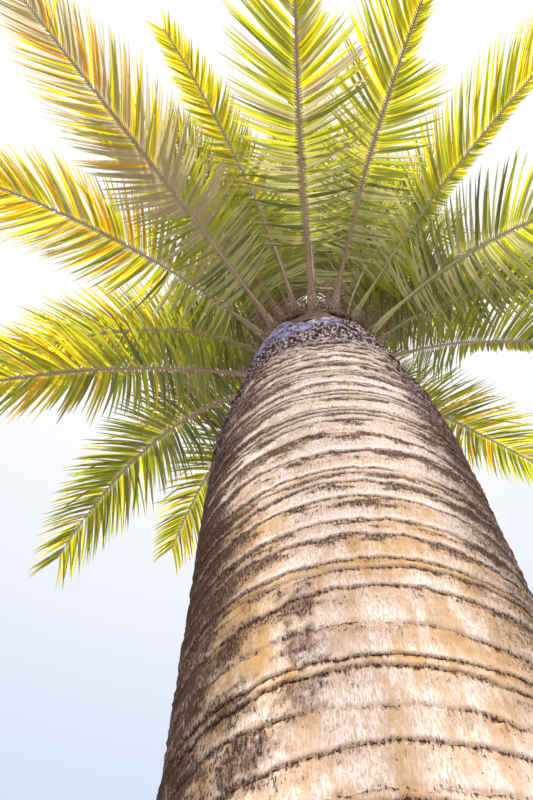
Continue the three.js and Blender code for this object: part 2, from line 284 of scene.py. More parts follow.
barkShape = {
    "seed": 23,
    "columns": 520,
    "drums": ("bark_foot", "bark_lower", "bark_middle", "bark_upper", "bark_shoulder"),
    "ringSpacing": (  # height and mean distance between two scar lines there
        (0.0, 0.085), (1.8, 0.080), (2.5, 0.078), (3.4, 0.078), (3.8, 0.062), (4.6, 0.054), (5.4, 0.047),
    ),
    "twinShare": 0.42,  # share of the lines that lie close above the one before
    "twinGap": (0.36, 0.60),
    "wideGap": (1.0, 1.65),
    "sharedWave": 0.050,
    "ownWave": 0.50,  # as a share of the gap to the nearest line
    "tremble": 0.008,  # at most this much, and at most this share of that gap
    "trembleShare": 0.3,
    "fineTremble": 0.7,  # as a share of the tremble
    "stillFoot": 0.35,  # stretches at the ground and at the rim where the waves die out
    "stillRim": 0.2,
    "sagReach": 0.7,  # how far down from the rim its dip is felt
    "quickShare": 0.25,  # of the quick noise in a line's strength; the rest is slow
    "faintBelow": 0.18,
    "fullFrom": 0.60,
    "bandStops": (0.0, 0.04, 0.10, 0.20, 0.36, 0.56, 0.76, 0.90, 0.96),
    "roughFrom": 3.9,
    "roughOver": 1.0,
    "bulge": (0.0014, 0.0, 0.0014),  # on smooth bark, added at the sides, added on rough bark
    "lip": (0.0020, 0.0, 0.0020),
    "lump": (0.010, 0.0, 0.016),
    "crust": (0.0015, 0.0096, 0.0144),
    "pit": (0.007, 0.0, 0.0056),
    "pitMore": (0.0, 0.14, 0.14),
    "bulgePower": 0.7,
    "groove": 0.0028,
    "grooveWidth": 0.0030,
    "grooveLeast": 0.35,
    "lipAbove": 0.012,
    "lipWidth": 0.006,
    "pitFrom": 0.92,
    "pitOver": 0.14,
    "pitByLine": 0.10,
    "pitLineWidth": 0.016,
    "pitInPatch": 0.18,
    "patchFrom": 0.62,
    "patchOver": 0.1,
    "pitOnSmooth": 0.15,
    "flareLump": 0.05,
    "flareTop": 0.8,
    "capDip": 0.02,
    "capGap": 0.05,
    "noises": {  # cells round the trunk, a cell's height in metres or in lines, step of the seed
        "sharedWave": (4, 1.1, 1),
        "ownWave": (9, 1.0, 2),
        "tremble": (80, 1.0, 3),
        "fineTremble": (190, 1.0, 12),
        "slow": (7, 0.6, 10),
        "quick": (31, 0.6, 11),
        "broken": (70, 0.05, 4),
        "lump": (22, 0.13, 5),
        "crust": (150, 0.020, 6),
        "patch": (9, 0.16, 7),
        "pit": (215, 0.0125, 8),
        "flare": (11, 0.7, 9),
    },
}


# Smooth curve through points by the uniform Catmull-Rom rule: each stretch is the cubic whose
# end slopes are half the step between the neighbours of that end.
def throughPoints(points, count):
    points = np.array(points, float)
    last = len(points) - 1
    place = np.linspace(0, last, count)
    index = np.minimum(place.astype(int), last - 1)
    t = (place - index)[:, None]
    before, here = points[np.maximum(index - 1, 0)], points[index]
    after, beyond = points[index + 1], points[np.minimum(index + 2, last)]
    slopeIn, slopeOut = (after - before) / 2, (beyond - here) / 2
    cubic = (2 * here - 2 * after + slopeIn + slopeOut) * t**3
    square = (-3 * here + 3 * after - 2 * slopeIn - slopeOut) * t**2
    return cubic + square + slopeIn * t + here


outlineCurve = throughPoints(trunkShape["outline"], trunkShape["outlineSteps"])


def trunkRadius(height):
    return np.interp(height, outlineCurve[:, 0], outlineCurve[:, 1])


# Radius of the cone that carries the fronds: it falls from the rim's to the tip's by a power.
def coneRadius(height):
    share = np.clip((height - trunkShape["crownHeight"]) / trunkShape["heartHeight"], 0, 1)
    return lerp(trunkShape["rimRadius"], trunkShape["heartTipRadius"], share ** trunkShape["heartPower"])


# How far the rim dips at each turn: a bell curve of the bearing.
def rimSag(turn):
    depth, bearing, width = trunkShape["rimSag"]
    return depth * np.exp(-((wrapped(turn * 360 - bearing) / width) ** 2))


# One of the bark's noises, at each turn and height or at each turn and number of a scar line.
def barkNoise(shape, name, turn, height):
    around, cell, step = shape["noises"][name]
    return wallNoise(turn, height, around, cell, shape["seed"] + step)


# Mean heights of the scar lines: steps of random size whose mean follows ringSpacing.
def ringHeights(shape):
    draw = np.random.default_rng(shape["seed"])
    levels, spacings = zip(*shape["ringSpacing"])
    top = trunkShape["rimHeight"]
    heights = [0.0]
    while heights[-1] < top:
        span = shape["twinGap"] if draw.random() < shape["twinShare"] else shape["wideGap"]
        heights.append(heights[-1] + np.interp(heights[-1], levels, spacings) * draw.uniform(*span))
    return np.array(heights) * top / heights[-1]


# The number of each scar line, and the turn, at every point of the lines.
def lineGrid(count, turn):
    return np.meshgrid(np.arange(count) * 1.0, turn, indexing="ij")


# The scar lines' heights at each turn: the mean height plus a slow wave that all lines share, a
# wave of their own that is a share of the gap to the nearest line, and a fine tremble.
def ringLines(shape, turn):
    mean = ringHeights(shape)
    gaps = np.diff(mean)
    room = np.minimum(np.append(gaps, gaps[-1]), np.insert(gaps, 0, gaps[0]))[:, None]
    order, turns = lineGrid(len(mean), turn)
    level = mean[:, None] + 0 * turns
    wave = shape["sharedWave"] * (barkNoise(shape, "sharedWave", turns, level) - 0.5)
    wave = wave + shape["ownWave"] * room * (barkNoise(shape, "ownWave", turns, order) - 0.5)
    tremble = barkNoise(shape, "tremble", turns, order) - 0.5
    tremble = tremble + shape["fineTremble"] * (barkNoise(shape, "fineTremble", turns, order) - 0.5)
    wave = wave + np.minimum(shape["tremble"], shape["trembleShare"] * room) * tremble
    down = trunkShape["rimHeight"] - level
    held = fade(level / shape["stillFoot"]) * fade(down / shape["stillRim"])
    sag = rimSag(turn)[None] * np.clip(1 - down / shape["sagReach"], 0, 1) ** 2
    return level + wave * held - sag


# How strongly each scar line shows at each turn, from 0 to 1: it fades in and out along the line.
def lineStrength(shape, count, turn):
    order, turns = lineGrid(count, turn)
    slow, quick = (barkNoise(shape, name, turns, order) for name in ("slow", "quick"))
    strength = lerp(slow, quick, shape["quickShare"])
    return fade((strength - shape["faintBelow"]) / (shape["fullFrom"] - shape["faintBelow"]))


# How far the bark stands off the smooth trunk: each band bulges by a sine, each scar line is a
# groove with the fall of a bell curve and a lip above it, and noise adds lumps, crust and pits.
def barkRelief(shape, turn, height, part, gap, strength):
    near = np.minimum(part, 1 - part) * gap
    rough = fade((height - shape["roughFrom"]) / shape["roughOver"])
    side = np.sin(2 * np.pi * turn) ** 2

    def sized(name):
        smooth, atSides, onRough = shape[name]
        return smooth + atSides * side + onRough * rough

    def noise(name):
        return barkNoise(shape, name, turn, height)

    groove = (shape["grooveLeast"] + noise("broken")) * np.exp(-((near / shape["grooveWidth"]) ** 2))
    lip = np.exp(-(((part * gap - shape["lipAbove"]) / shape["lipWidth"]) ** 2))
    relief = sized("bulge") * np.sin(np.pi * part) ** shape["bulgePower"]
    relief = relief - shape["groove"] * strength * groove + sized("lip") * lip
    relief = relief + sized("lump") * (noise("lump") - 0.5) + sized("crust") * (noise("crust") - 0.5)
    liable = shape["pitByLine"] * np.exp(-((near / shape["pitLineWidth"]) ** 2))
    patch = fade((noise("patch") - shape["patchFrom"]) / shape["patchOver"])
    liable = (liable + shape["pitInPatch"] * patch) * (shape["pitOnSmooth"] + rough) + sized("pitMore")
    pits = fade((noise("pit") + liable - shape["pitFrom"]) / shape["pitOver"])
    flare = (noise("flare") - 0.5) * fade(1 - height / shape["flareTop"])
    return relief - sized("pit") * pits + shape["flareLump"] * flare


# The bark's grid has rows at the stops between each two scar lines, and one on the last line. For
# each point it gives the height, the number of the line below plus the part of the way to the
# next, the gap between those two lines, and how strongly they show.
def barkGrid(shape, turn):
    lines = ringLines(shape, turn)
    shown = lineStrength(shape, len(lines), turn)
    stops = np.array(shape["bandStops"])[None, :, None]
    bands = np.arange(len(lines) - 1)[:, None, None]
    gap = np.diff(lines, axis=0)[:, None] + 0 * stops
    grids = [
        (lines[:-1, None] + stops * gap, lines[-1]),
        (bands + stops + 0 * gap, 0 * turn + len(bands)),
        (gap, gap[-1, -1]),
        (lerp(shown[:-1, None], shown[1:, None], fade(stops)), shown[-1]),
    ]
    return [np.vstack([grid.reshape(-1, len(turn)), last]) for grid, last in grids]


# The bark in drums, on the trunk's radius plus the relief. Each drum's ends close on a point on the
# trunk's axis.
def buildBark(shape, material):
    turn = np.arange(shape["columns"]) / shape["columns"]
    height, phase, gap, strength = barkGrid(shape, turn)
    turns = turn[None] + 0 * height
    relief = barkRelief(shape, turns, height, phase % 1, gap, strength)
    wall = roundAxis(trunkRadius(height) + relief, 2 * np.pi * turns, height)
    bands, each = int(phase[-1, 0]), len(shape["bandStops"])
    edges = np.linspace(0, bands, len(shape["drums"]) + 1).astype(int) * each
    pieces = []
    for number, name in enumerate(shape["drums"]):
        rows = slice(edges[number], edges[number + 1] + 1)
        ring = wall[rows]
        bottom = [0, 0, ring[0, :, 2].mean() + (shape["capDip"] if number else 0)]
        top = [0, 0, ring[-1, :, 2].mean() - shape["capDip"]]
        points = np.vstack([ring.reshape(-1, 3), [bottom, top]])
        values = {
            "ringPhase": np.append(phase[rows].ravel(), [0, 0]),
            "ringGap": np.append(gap[rows].ravel(), [shape["capGap"], shape["capGap"]]),
            "ringStrength": np.append(strength[rows].ravel(), [0, 0]),
        }
        pieces.append(makePiece(name, points, drumFaces(*ring.shape[:2]), material, values))
    return pieces


barkColours = {
    "cream": (0.92, 0.80, 0.71),
    # the painted highlight on the ridges above the lines
    "white": (1.0, 0.90, 0.82),
    "blush": (0.70, 0.49, 0.38),
    "tan": (0.56, 0.35, 0.18),
    "gold": (0.54, 0.29, 0.075),
    # painted shade round the grooves
    "halo": (0.36, 0.18, 0.060),
    "umber": (0.40, 0.24, 0.12),
    # partly painted shade towards the outlines
    "mauve": (0.082, 0.055, 0.042),
    "ash": (0.58, 0.47, 0.38),
    "line": (0.030, 0.014, 0.009),
    "pit": (0.055, 0.024, 0.014),
    "chip": (0.030, 0.017, 0.020),
    "fleck": (0.66, 0.54, 0.56),
    # this colour and the next paint the shadows that fronds cast on the trunk
    "greyShadow": (0.22, 0.16, 0.17),
    "oliveShadow": (0.22, 0.20, 0.15),
    "sand": (0.70, 0.52, 0.41),
    # painted shade under the lines
    "ledgeShade": (0.42, 0.25, 0.150),
    "crust": (0.135, 0.060, 0.030),
    "crack": (0.36, 0.22, 0.15),
    "dusk": (0.27, 0.19, 0.20),
}

waxColours = {
    "shade": (0.22, 0.195, 0.32),
    "wax": (0.36, 0.33, 0.50),
    "pale": (0.58, 0.53, 0.68),
    "dark": (0.050, 0.032, 0.045),
}

frondShadows = (  # place, radius and colour of the painted shadows that fronds cast on the trunk
    ((-0.135, -0.55, 2.76), 0.085, "greyShadow"),
    ((-0.133, -0.55, 2.62), 0.090, "greyShadow"),
    ((-0.132, -0.55, 2.48), 0.085, "greyShadow"),
    ((-0.360, -0.44, 2.92), 0.110, "oliveShadow"),
    ((-0.300, -0.48, 2.74), 0.100, "oliveShadow"),
    ((-0.300, -0.48, 2.53), 0.105, "oliveShadow"),
    ((-0.250, -0.51, 2.38), 0.090, "greyShadow"),
)

barkGrains = {  # scale, its share upright (below 1 draws out, above 1 flattens), detail, roughness
    "broad": (2.7, 1.0, 3.0, 0.55),
    "stains": (3.3, 1.0, 3.0, 0.55),
    "coarse": (7, 1.0, 4.0, 0.55),
    "clumps": (7, 3.0, 4.0, 0.55),
    "streaks": (17, 0.30, 4.0, 0.55),
    "medium": (38, 1.0, 3.0, 0.55),
    "chips": (58, 0.4, 3.0, 0.55),
    "speckle": (105, 0.4, 4.0, 0.7),
    "strands": (135, 0.16, 1.0, 0.55),
    "spots": (150, 0.4, 4.0, 0.75),
    "crumbs": (230, 0.4, 2.0, 0.55),
    "fibres": (260, 0.22, 2.0, 0.55, 0.4),  # these are also distorted
}


# The lilac bloom of old wax: two tints in patches, pale where it is thick, dark where it is gone.
def waxTone(look, place):
    patches = look.grain(place, 15, 4.0)
    tone = look.mixed(patches.ramp(0.40, 0.52), waxColours["shade"], waxColours["wax"])
    tone = look.mixed(patches.ramp(0.54, 0.64), tone, waxColours["pale"])
    return look.mixed(look.grain(place, 31, 4.0).ramp(0.54, 0.59) * 0.85, tone, waxColours["dark"])


# The bark's finish, laid on layer by layer. Each layer's share comes from fields that the layers
# have in common: the grains, and what findPlaces and findRings set.
class BarkFinish(Finish):
    def __init__(self, grains):
        super().__init__(bpy.data.materials.new("ringed bark"))
        self.spot = self.place()
        for name, (scale, upright, *quality) in grains.items():
            drawn = self.stretched(self.spot, (1, 1, upright))
            setattr(self, name, self.grain(drawn, scale, *quality))

    # Where on the trunk: across runs from -1 at the left to 1 at the right, facing is 1 on the
    # front, edge grows towards both outlines, warm towards the left, and the shoulder is the top.
    def findPlaces(self):
        self.height = self.axis(self.spot, "Z")
        flat = self.stretched(self.spot, (1, 1, 0))
        outward = self.node("ShaderNodeVectorMath", {"operation": "NORMALIZE"}, {0: flat})
        self.across = self.axis(outward, "X")
        self.facing = self.axis(outward, "Y").ramp(0.1, -0.3)
        self.middle = self.height.ramp(2.65, 3.2)
        self.upper = self.height.ramp(3.3, 4.4)
        # The edge is partly grey weathering and partly painted shade: it darkens the bark towards both
        # outlines, the left more, where the sides turn from the light.
        left = (self.across + self.coarse.swing(0.5) + self.broad.swing(0.6)).ramp(-0.42, -0.88)
        right = (self.across + self.coarse.swing(0.3)).ramp(0.42, 0.88)
        climbing = (self.height + self.coarse.swing(1.6)).ramp(1.7, 3.7)
        self.edge = left.most(right * (0.30 + 0.70 * climbing))
        self.warm = (self.across + self.coarse.swing(0.5)).ramp(-0.10, -0.60)
        climbed = (self.height + self.coarse.swing(1.2)).ramp(3.5, 4.9)
        self.shoulder = self.height.ramp(4.40, 4.85).most(self.edge * climbed * 0.8)

    # Where between the scar lines: part runs from 0 at one line to 1 at the next one up, near is
    # the uneven distance to the nearest line in metres, fringe is 1 under a line and ridge above.
    def findRings(self):
        self.gap = self.attribute("ringGap")
        phase = self.attribute("ringPhase")
        self.part = phase.maths("FRACT", phase)
        aside = self.gap * (self.part - self.part.maths("GREATER_THAN", self.part, 0.5))
        self.near = (aside + self.strands.swing(0.014) + self.medium.swing(0.012)).size()
        fringe = 1.0 - self.part + self.medium.swing(0.7) + self.coarse.swing(0.7)
        self.fringe = fringe.ramp(0.80, 0.12)
        self.ridge = (self.part + self.medium.swing(0.25)).ramp(0.28, 0.12)
        strength = self.attribute("ringStrength") + self.medium * 0.9 - self.upper * 0.15
        self.shown = strength.ramp(0.50, 0.95)
        self.patches = (self.clumps + self.warm * 0.05).ramp(0.42, 0.58)

    # Cream with blush fibres, sand and tan streaks, gold stains below and umber ones at the left.
    def layWood(self):
        self.lay(self.fibres.ramp(0.40, 0.62), "blush")
        self.lay((1.0 - self.middle) * self.streaks.ramp(0.42, 0.60) * 0.6, "sand")
        tan = (self.streaks * 0.7 + self.broad * 0.4).ramp(0.52, 0.68)
        self.lay(tan * (0.30 + self.fibres) * (1.0 - 0.6 * self.middle), "tan")
        stain = self.gap.ramp(0.052, 0.030) * 0.7 + self.stains.ramp(0.46, 0.62) * 0.5
        stain = stain + self.warm * 0.5 + self.fringe * 0.35
        stain = stain * self.height.ramp(3.6, 3.1) * (0.35 + 0.65 * self.height.ramp(2.4, 2.7))
        self.lay((stain * (self.streaks * 1.7 - 0.15)).least(0.85), "gold")
        self.lay(self.warm * self.clumps.ramp(0.42, 0.58) * 0.6, "umber")

    # Brown painted shade under each line, a painted highlight on the ridge above it, a brown halo
    # round it that paints the shade of its groove, and upright cracks.
    def layBands(self):
        self.lay(self.fringe * (0.15 + 0.75 * self.patches) * (0.40 + 0.35 * self.middle), "ledgeShade")
        self.lay(self.ridge * (0.10 + 0.40 * self.middle) * self.shown, "white")
        halo = (self.near + self.streaks.swing(0.020)).ramp(0.012, 0.001)
        self.lay(halo * (0.20 + 0.80 * self.shown) * 0.50, "halo")
        cracks = (self.strands - 0.5).size().ramp(0.022, 0.006)
        self.lay(cracks * (self.medium + self.fringe * 0.12).ramp(0.48, 0.62) * 0.55, "crack")

    # Dark grey-brown towards the outlines, partly grey weathering and partly painted shade, with pale
    # speckles and a painted highlight on the ridge above each line there, grey streaks up high, and a
    # dusky shoulder.
    def layGrey(self):
        grey = self.edge * self.speckle.ramp(0.58, 0.44) * 1.1
        grey = grey + self.upper * self.streaks.ramp(0.50, 0.62) * 0.25
        self.lay(grey.least(0.92), "mauve")
        pale = self.speckle.ramp(0.54, 0.62) + (self.part + self.medium.swing(0.3)).ramp(0.46, 0.20)
        self.lay(pale * self.edge * 0.75, "ash")
        self.lay(self.shoulder * self.coarse.ramp(0.40, 0.58) * 0.85, "dusk")

    # Painted frond shadows, grey and olive: balls round these places, with ragged rims.
    def layFrondShadows(self, shadowMarks):
        self.shadowed = 0.0
        for centre, radius, colour in shadowMarks:
            ends = {0: self.spot, 1: centre}
            away = self.node("ShaderNodeVectorMath", {"operation": "DISTANCE"}, ends, output="Value")
            mark = away + self.medium.swing(0.16) + self.coarse.swing(0.08)
            mark = mark.ramp(radius, radius * 0.1)
            self.lay(mark * (self.speckle * 2.2 - 0.35), colour, "MULTIPLY")
            self.shadowed = mark + self.shadowed

    # Dark ticks on the lines, brown crust and black dots where the bark is liable to them, blush
    # crumbs on the crust, and flecks and chips on the shoulder.
    def layCrust(self):
        ticks = self.strands.ramp(0.50, 0.54) * (self.near + self.fibres.swing(0.030)).ramp(0.009, 0.003)
        self.lay(ticks * self.shown * 0.80, "pit")
        liable = self.near.ramp(0.014, 0.0) * 0.07 + self.edge * 0.17 + self.shadowed * 0.07
        liable = liable + self.patches * (self.fringe * (0.09 + self.middle * 0.13) + self.warm * 0.07)
        liable = liable + self.fringe * self.upper * 0.08 + self.shoulder * 0.05 - 0.11
        self.crust = (self.speckle * 0.7 + self.crumbs * 0.3 + liable).ramp(0.53, 0.56)
        self.lay(self.crust * (0.40 + self.middle * 0.40), "crust")
        self.dots = (self.spots + liable).ramp(0.555, 0.585)
        self.lay(self.dots * 0.92, "pit")
        self.lay(self.crust * self.fibres.ramp(0.52, 0.60) * (0.40 - 0.40 * self.edge), "blush")
        self.lay(self.shoulder * self.chips.ramp(0.475, 0.43) * 0.85, "fleck")
        self.lay(self.shoulder * self.chips.ramp(0.475, 0.505) * 0.92, "chip")

    # Old wax under the rim on the front, above an edge that is lowest left of the middle.
    def layWax(self):
        lower = 5.02 + self.across.ramp(-0.30, -0.80) * 0.30 + self.across.ramp(-0.15, 0.05) * 0.12
        waxy = self.height + self.coarse.swing(0.50) + self.medium.swing(0.20) - lower
        waxy = waxy.ramp(-0.02, 0.03) * (self.across + self.coarse.swing(0.4)).ramp(0.44, 0.30)
        self.tone = self.mixed(waxy * self.facing, self.tone, waxTone(self, self.spot))

    # The dark scar lines, wider under the painted frond shadows.
    def layLines(self):
        line = self.near.ramp(0.0028 + 0.003 * self.shadowed, 0.0006) * self.shown
        self.line = line * (0.15 + 0.85 * self.strands.ramp(0.45, 0.52))
        self.lay(self.line * 0.95, "line")


def makeBarkFinish(colours, grains, shadowMarks):
    look = BarkFinish(grains)
    look.findPlaces()
    look.findRings()
    look.begin(colours, "cream")
    look.layWood()
    look.layBands()
    look.layGrey()
    look.layFrondShadows(shadowMarks)
    look.layCrust()
    look.layWax()
    look.layLines()
    relief = look.fibres * 0.30 + look.medium * 0.25 - look.shoulder * look.chips
    relief = relief - look.line * 0.4 - look.dots * 0.8 - look.crust * look.middle * 0.5
    return look.surfaced({
        "Base Color": look.tone,
        "Roughness": 0.74 + 0.2 * look.coarse,
        "Specular IOR Level": 0.1,
        "Normal": look.bumped(relief, 0.7, 0.005),
    })


print("bark")
barkMaterial = makeBarkFinish(barkColours, barkGrains, frondShadows)
for barkPiece in buildBark(barkShape, barkMaterial):
    settle(barkPiece, ["trunk"])

print("fronds")
crownShape = {
    "count": 42,
    "goldenAngle": 137.508,
    "firstBearing": 6,
    "lowestBase": 5.560,
    "baseStep": 0.0175,
    "rise": (84, 40),  # of the youngest and of the oldest frond, in degrees, as all pairs here
    "risePower": 1.5,
    "bend": (36, 75),
    "bendPower": 1.3,
    "length": (2.350, 3.250),
    "lengthPower": 0.5,
    "breadth": (0.5, 1.0),
    "breadthPower": 0.7,
    "sunkDepth": 0.055,
    "riseJitter": 2.5,
    "driftJitter": 8,
    "twistJitter": 22,
    "stalkShare": 0.15,
    "turned": {  # added to a frond's bearing, its rise, added to its bend, and its drift
        0: (-3, 40, -3, 7), 1: (14, 44, 0, 6), 2: (-12, 37, 0, 5), 3: (8, 44, 5, 24),
        5: (-14, 52.5, -7, 15), 6: (-12, 41, 8, 18), 7: (-4, 47.5, 8, -20), 8: (-1, 46.5, 2, 5),
        10: (0, 48.5, -6, 0), 11: (12, 58, 0, 8), 12: (5, 56, 4, -9), 13: (-10, 69, -3, -8),
        14: (9, 49.5, -5, -12), 15: (7, 56, 8, -16), 16: (8.5, 50, -1, -6.5), 18: (0, 69, 0, -4),
        19: (0, 73, 0, 0), 21: (-4, 82, -8, -3), 23: (-25, 56.5, 2, 0), 24: (0, 80, 0, -7),
        26: (-14, 76, 0, 0), 29: (0, 82, 0, 0),
    },
    "short": {21: 0.9},  # share of its length that a frond keeps
    "thin": {  # side (0 for both), share of the leafy part where it sets in, length that is kept
        0: (1, 0.42, 0.42), 6: (1, 0.16, 0.2), 8: (1, 0.47, 0.25), 13: (0, 0, 0.6), 16: (1, 0.2, 0.25),
    },
    "thinOnset": 0.06,
}


# A frond's plan: its age from 0 for the youngest to 1, the height of its foot, its angles in
# degrees, its length, and its breadth as a share of the oldest one's. Where an angle isn't
# listed, it sways by a random number of its own.
def frondPlan(shape, number):
    age = 1 - number / (shape["count"] - 1)

    def sway(trait, step):
        return shape[trait] * (2 * hashed(number + step) - 1)

    rise = lerp(*shape["rise"], age ** shape["risePower"]) + sway("riseJitter", 11)
    turned = shape["turned"].get(number, (0, rise, 0, sway("driftJitter", 37)))
    bearing = shape["firstBearing"] + shape["goldenAngle"] * number
    length = lerp(*shape["length"], age ** shape["lengthPower"])
    return {
        "number": number,
        "age": age,
        "foot": shape["lowestBase"] + shape["baseStep"] * number,
        "bearing": wrapped(bearing) + turned[0],
        "rise": turned[1],
        "bend": lerp(*shape["bend"], age) + turned[2],
        "drift": turned[3],
        "twist": sway("twistJitter", 53),
        "length": length * shape["short"].get(number, 1),
        "breadth": lerp(*shape["breadth"], age ** shape["breadthPower"]),
    }


# The share of its length that a leaflet keeps on a frond's thin side at shares u of the leafy part.
def keptLength(plan, u, hand):
    side, start, keep = crownShape["thin"].get(plan["number"], (0, 0, 1))
    if side * hand < 0:
        return np.ones_like(u)
    return lerp(1, keep, fade((u - start) / (2 * crownShape["thinOnset"]) + 0.5))


# Directions at shares s of a frond's length: it starts at its rise and turns down by its bend
# times s^bendPower while its bearing drifts, and its blade turns about its own line.
def frondFrame(plan, s):
    rise = np.radians(plan["rise"] - plan["bend"] * s ** crownShape["bendPower"])
    bearing = np.radians(plan["bearing"] + plan["drift"] * s)
    twist = np.radians(plan["twist"] * s)[:, None]
    along = np.stack([np.sin(bearing) * np.cos(rise), -np.cos(bearing) * np.cos(rise), np.sin(rise)], -1)
    level = np.stack([np.cos(bearing), np.sin(bearing), 0 * s], -1)
    side = level * np.cos(twist) - np.cross(along, level) * np.sin(twist)
    return along, side, np.cross(along, side)


# Centres at shares s: the foot on the cone plus the sum of the directions up to s.
def frondCentres(plan, s):
    steps = 300
    middles = (np.arange(steps) + 0.5) / steps
    strides = frondFrame(plan, middles)[0] * plan["length"] / steps
    path = np.vstack([np.zeros(3), np.cumsum(strides, 0)])
    reach = float(coneRadius(plan["foot"])) - crownShape["sunkDepth"]
    start = roundAxis(reach, math.radians(plan["bearing"]), plan["foot"])
    shares = np.linspace(0, 1, steps + 1)
    return start + np.stack([np.interp(s, shares, path[:, axis]) for axis in range(3)], -1)


plans = [frondPlan(crownShape, number) for number in range(crownShape["count"])]

stalkShape = {
    "stations": 78,
    "crowding": 1.35,  # the power by which the stations crowd towards the foot
    "sides": 12,
    "width": (0.104, 0.021, 0.006),  # at the foot, where the leaflets start, and at the tip
    "thickness": (0.044, 0.017, 0.006),
    "narrowing": 0.6,
    "footFlare": 0.55,
    "flareShare": 0.045,
    "flarePower": 1.5,
    "thickerShare": 0.4,  # of the flare, for the thickness
    "channel": (0.30, 0.9),  # fullness of the upper side at the foot and further out
    "channelShare": 0.35,
    "greenFronds": (3, 4, 9, 16, 24),
    "redFronds": (0, 2, 5, 8, 13),
    "otherGreen": 0.5,
}


# Width and thickness of stalk and rib: both fall fast along the stalk and evenly along the rib.
def stalkSection(plan, s):
    onStalk = np.minimum(1, s / crownShape["stalkShare"]) ** stalkShape["narrowing"]
    onRib = np.maximum(0, s - crownShape["stalkShare"]) / (1 - crownShape["stalkShare"])
    sizes = (stalkShape["width"], stalkShape["thickness"])
    return [lerp(lerp(foot, rib, onStalk), tip, onRib) * plan["breadth"] for foot, rib, tip in sizes]


# Tubes along paths. At every station the section is the closed curve side * a cos(q) +
# upper * b sin(q), with its upper half flattened by the share top.
def sweepTubes(centres, side, upper, halfWide, halfThick, sides, top=None):
    copies, stations = centres.shape[:2]
    turn = 2 * np.pi * np.arange(sides) / sides
    lift = np.sin(turn) * halfThick[..., None]
    if top is not None:
        lift = np.where(np.sin(turn) > 0, lift * top[..., None], lift)
    points = centres[:, :, None] + side[:, :, None] * (halfWide[..., None] * np.cos(turn))[..., None]
    points = points + upper[:, :, None] * lift[..., None]
    each = stations * sides
    quads = repeated(gridQuads(stations, sides, True), copies, each)
    ring = np.arange(sides)[None]
    lids = [repeated(ring[:, ::-1], copies, each), repeated(ring + each - sides, copies, each)]
    return points.reshape(-1, 3), [quads] + lids


# A tube for each frond's stalk and rib. For every point it notes the share of the frond's length
# and how green the stalk is.
def buildStalks(shape, material):
    s = np.linspace(0, 1, shape["stations"]) ** shape["crowding"]
    flare = shape["footFlare"] * np.maximum(0, 1 - s / shape["flareShare"]) ** shape["flarePower"]
    swept = []
    for plan in plans:
        along, side, upper = frondFrame(plan, s)
        width, thickness = stalkSection(plan, s)
        wide = width * (1 + flare) / 2
        thick = thickness * (1 + shape["thickerShare"] * flare) / 2
        swept.append((frondCentres(plan, s), side, upper, wide, thick))
    top = lerp(*shape["channel"], fade(s / shape["channelShare"])) + np.zeros((len(plans), 1))
    groups = [np.array(values) for values in zip(*swept)]
    points, faces = sweepTubes(*groups, shape["sides"], top)
    greens = np.array([shape["otherGreen"] * hashed(plan["number"] + 5) for plan in plans])
    greens[list(shape["greenFronds"])] = 1.0
    greens[list(shape["redFronds"])] = 0.0
    values = {
        "share": np.tile(np.repeat(s, shape["sides"]), len(plans)),
        "green": np.repeat(greens, shape["sides"] * len(s)),
    }
    return makePiece("frond_ribs", points, faces, material, values)


stalkColours = {
    "mauve": (0.25, 0.130, 0.100),
    "straw": (0.40, 0.27, 0.17),
    "green": (0.34, 0.39, 0.09),
    "grey": (0.24, 0.18, 0.16),
    "fibre": (0.13, 0.060, 0.035),
    "stripe": (0.46, 0.47, 0.24),
}


def makeStalkFinish(colours):
    look = Finish(bpy.data.materials.new("frond rib"))
    place = look.place()
    share = look.attribute("share")
    broad = look.grain(place, 7)
    fine = look.grain(place, 120)
    look.begin(colours, "mauve")
    look.lay(share.ramp(0.05, 0.30) * 0.6 + broad.ramp(0.5, 0.7) * 0.3, "straw")
    look.lay(look.attribute("green") * (0.55 + 0.45 * broad), "green")
    look.lay(share.ramp(0.35, 0.9) * 0.55, "grey")
    stripes = look.grain(look.stretched(place, (1, 1, 0.12)), 75, 2.0).ramp(0.48, 0.56)
    look.lay(stripes * share.ramp(0.11, 0.03) * 0.65, "stripe")
    flecks = (look.grain(place, 34) + share.ramp(0.05, 0.0) * 0.25).ramp(0.60, 0.70)
    look.lay(flecks * 0.65, "fibre")
    relief = look.bumped(fine * 0.5 - flecks * 0.6, 0.5, 0.003)
    return look.surfaced({"Base Color": look.tone, "Roughness": 0.46 + 0.2 * fine, "Normal": relief})


settle(buildStalks(stalkShape, makeStalkFinish(stalkColours)), frondNodes)

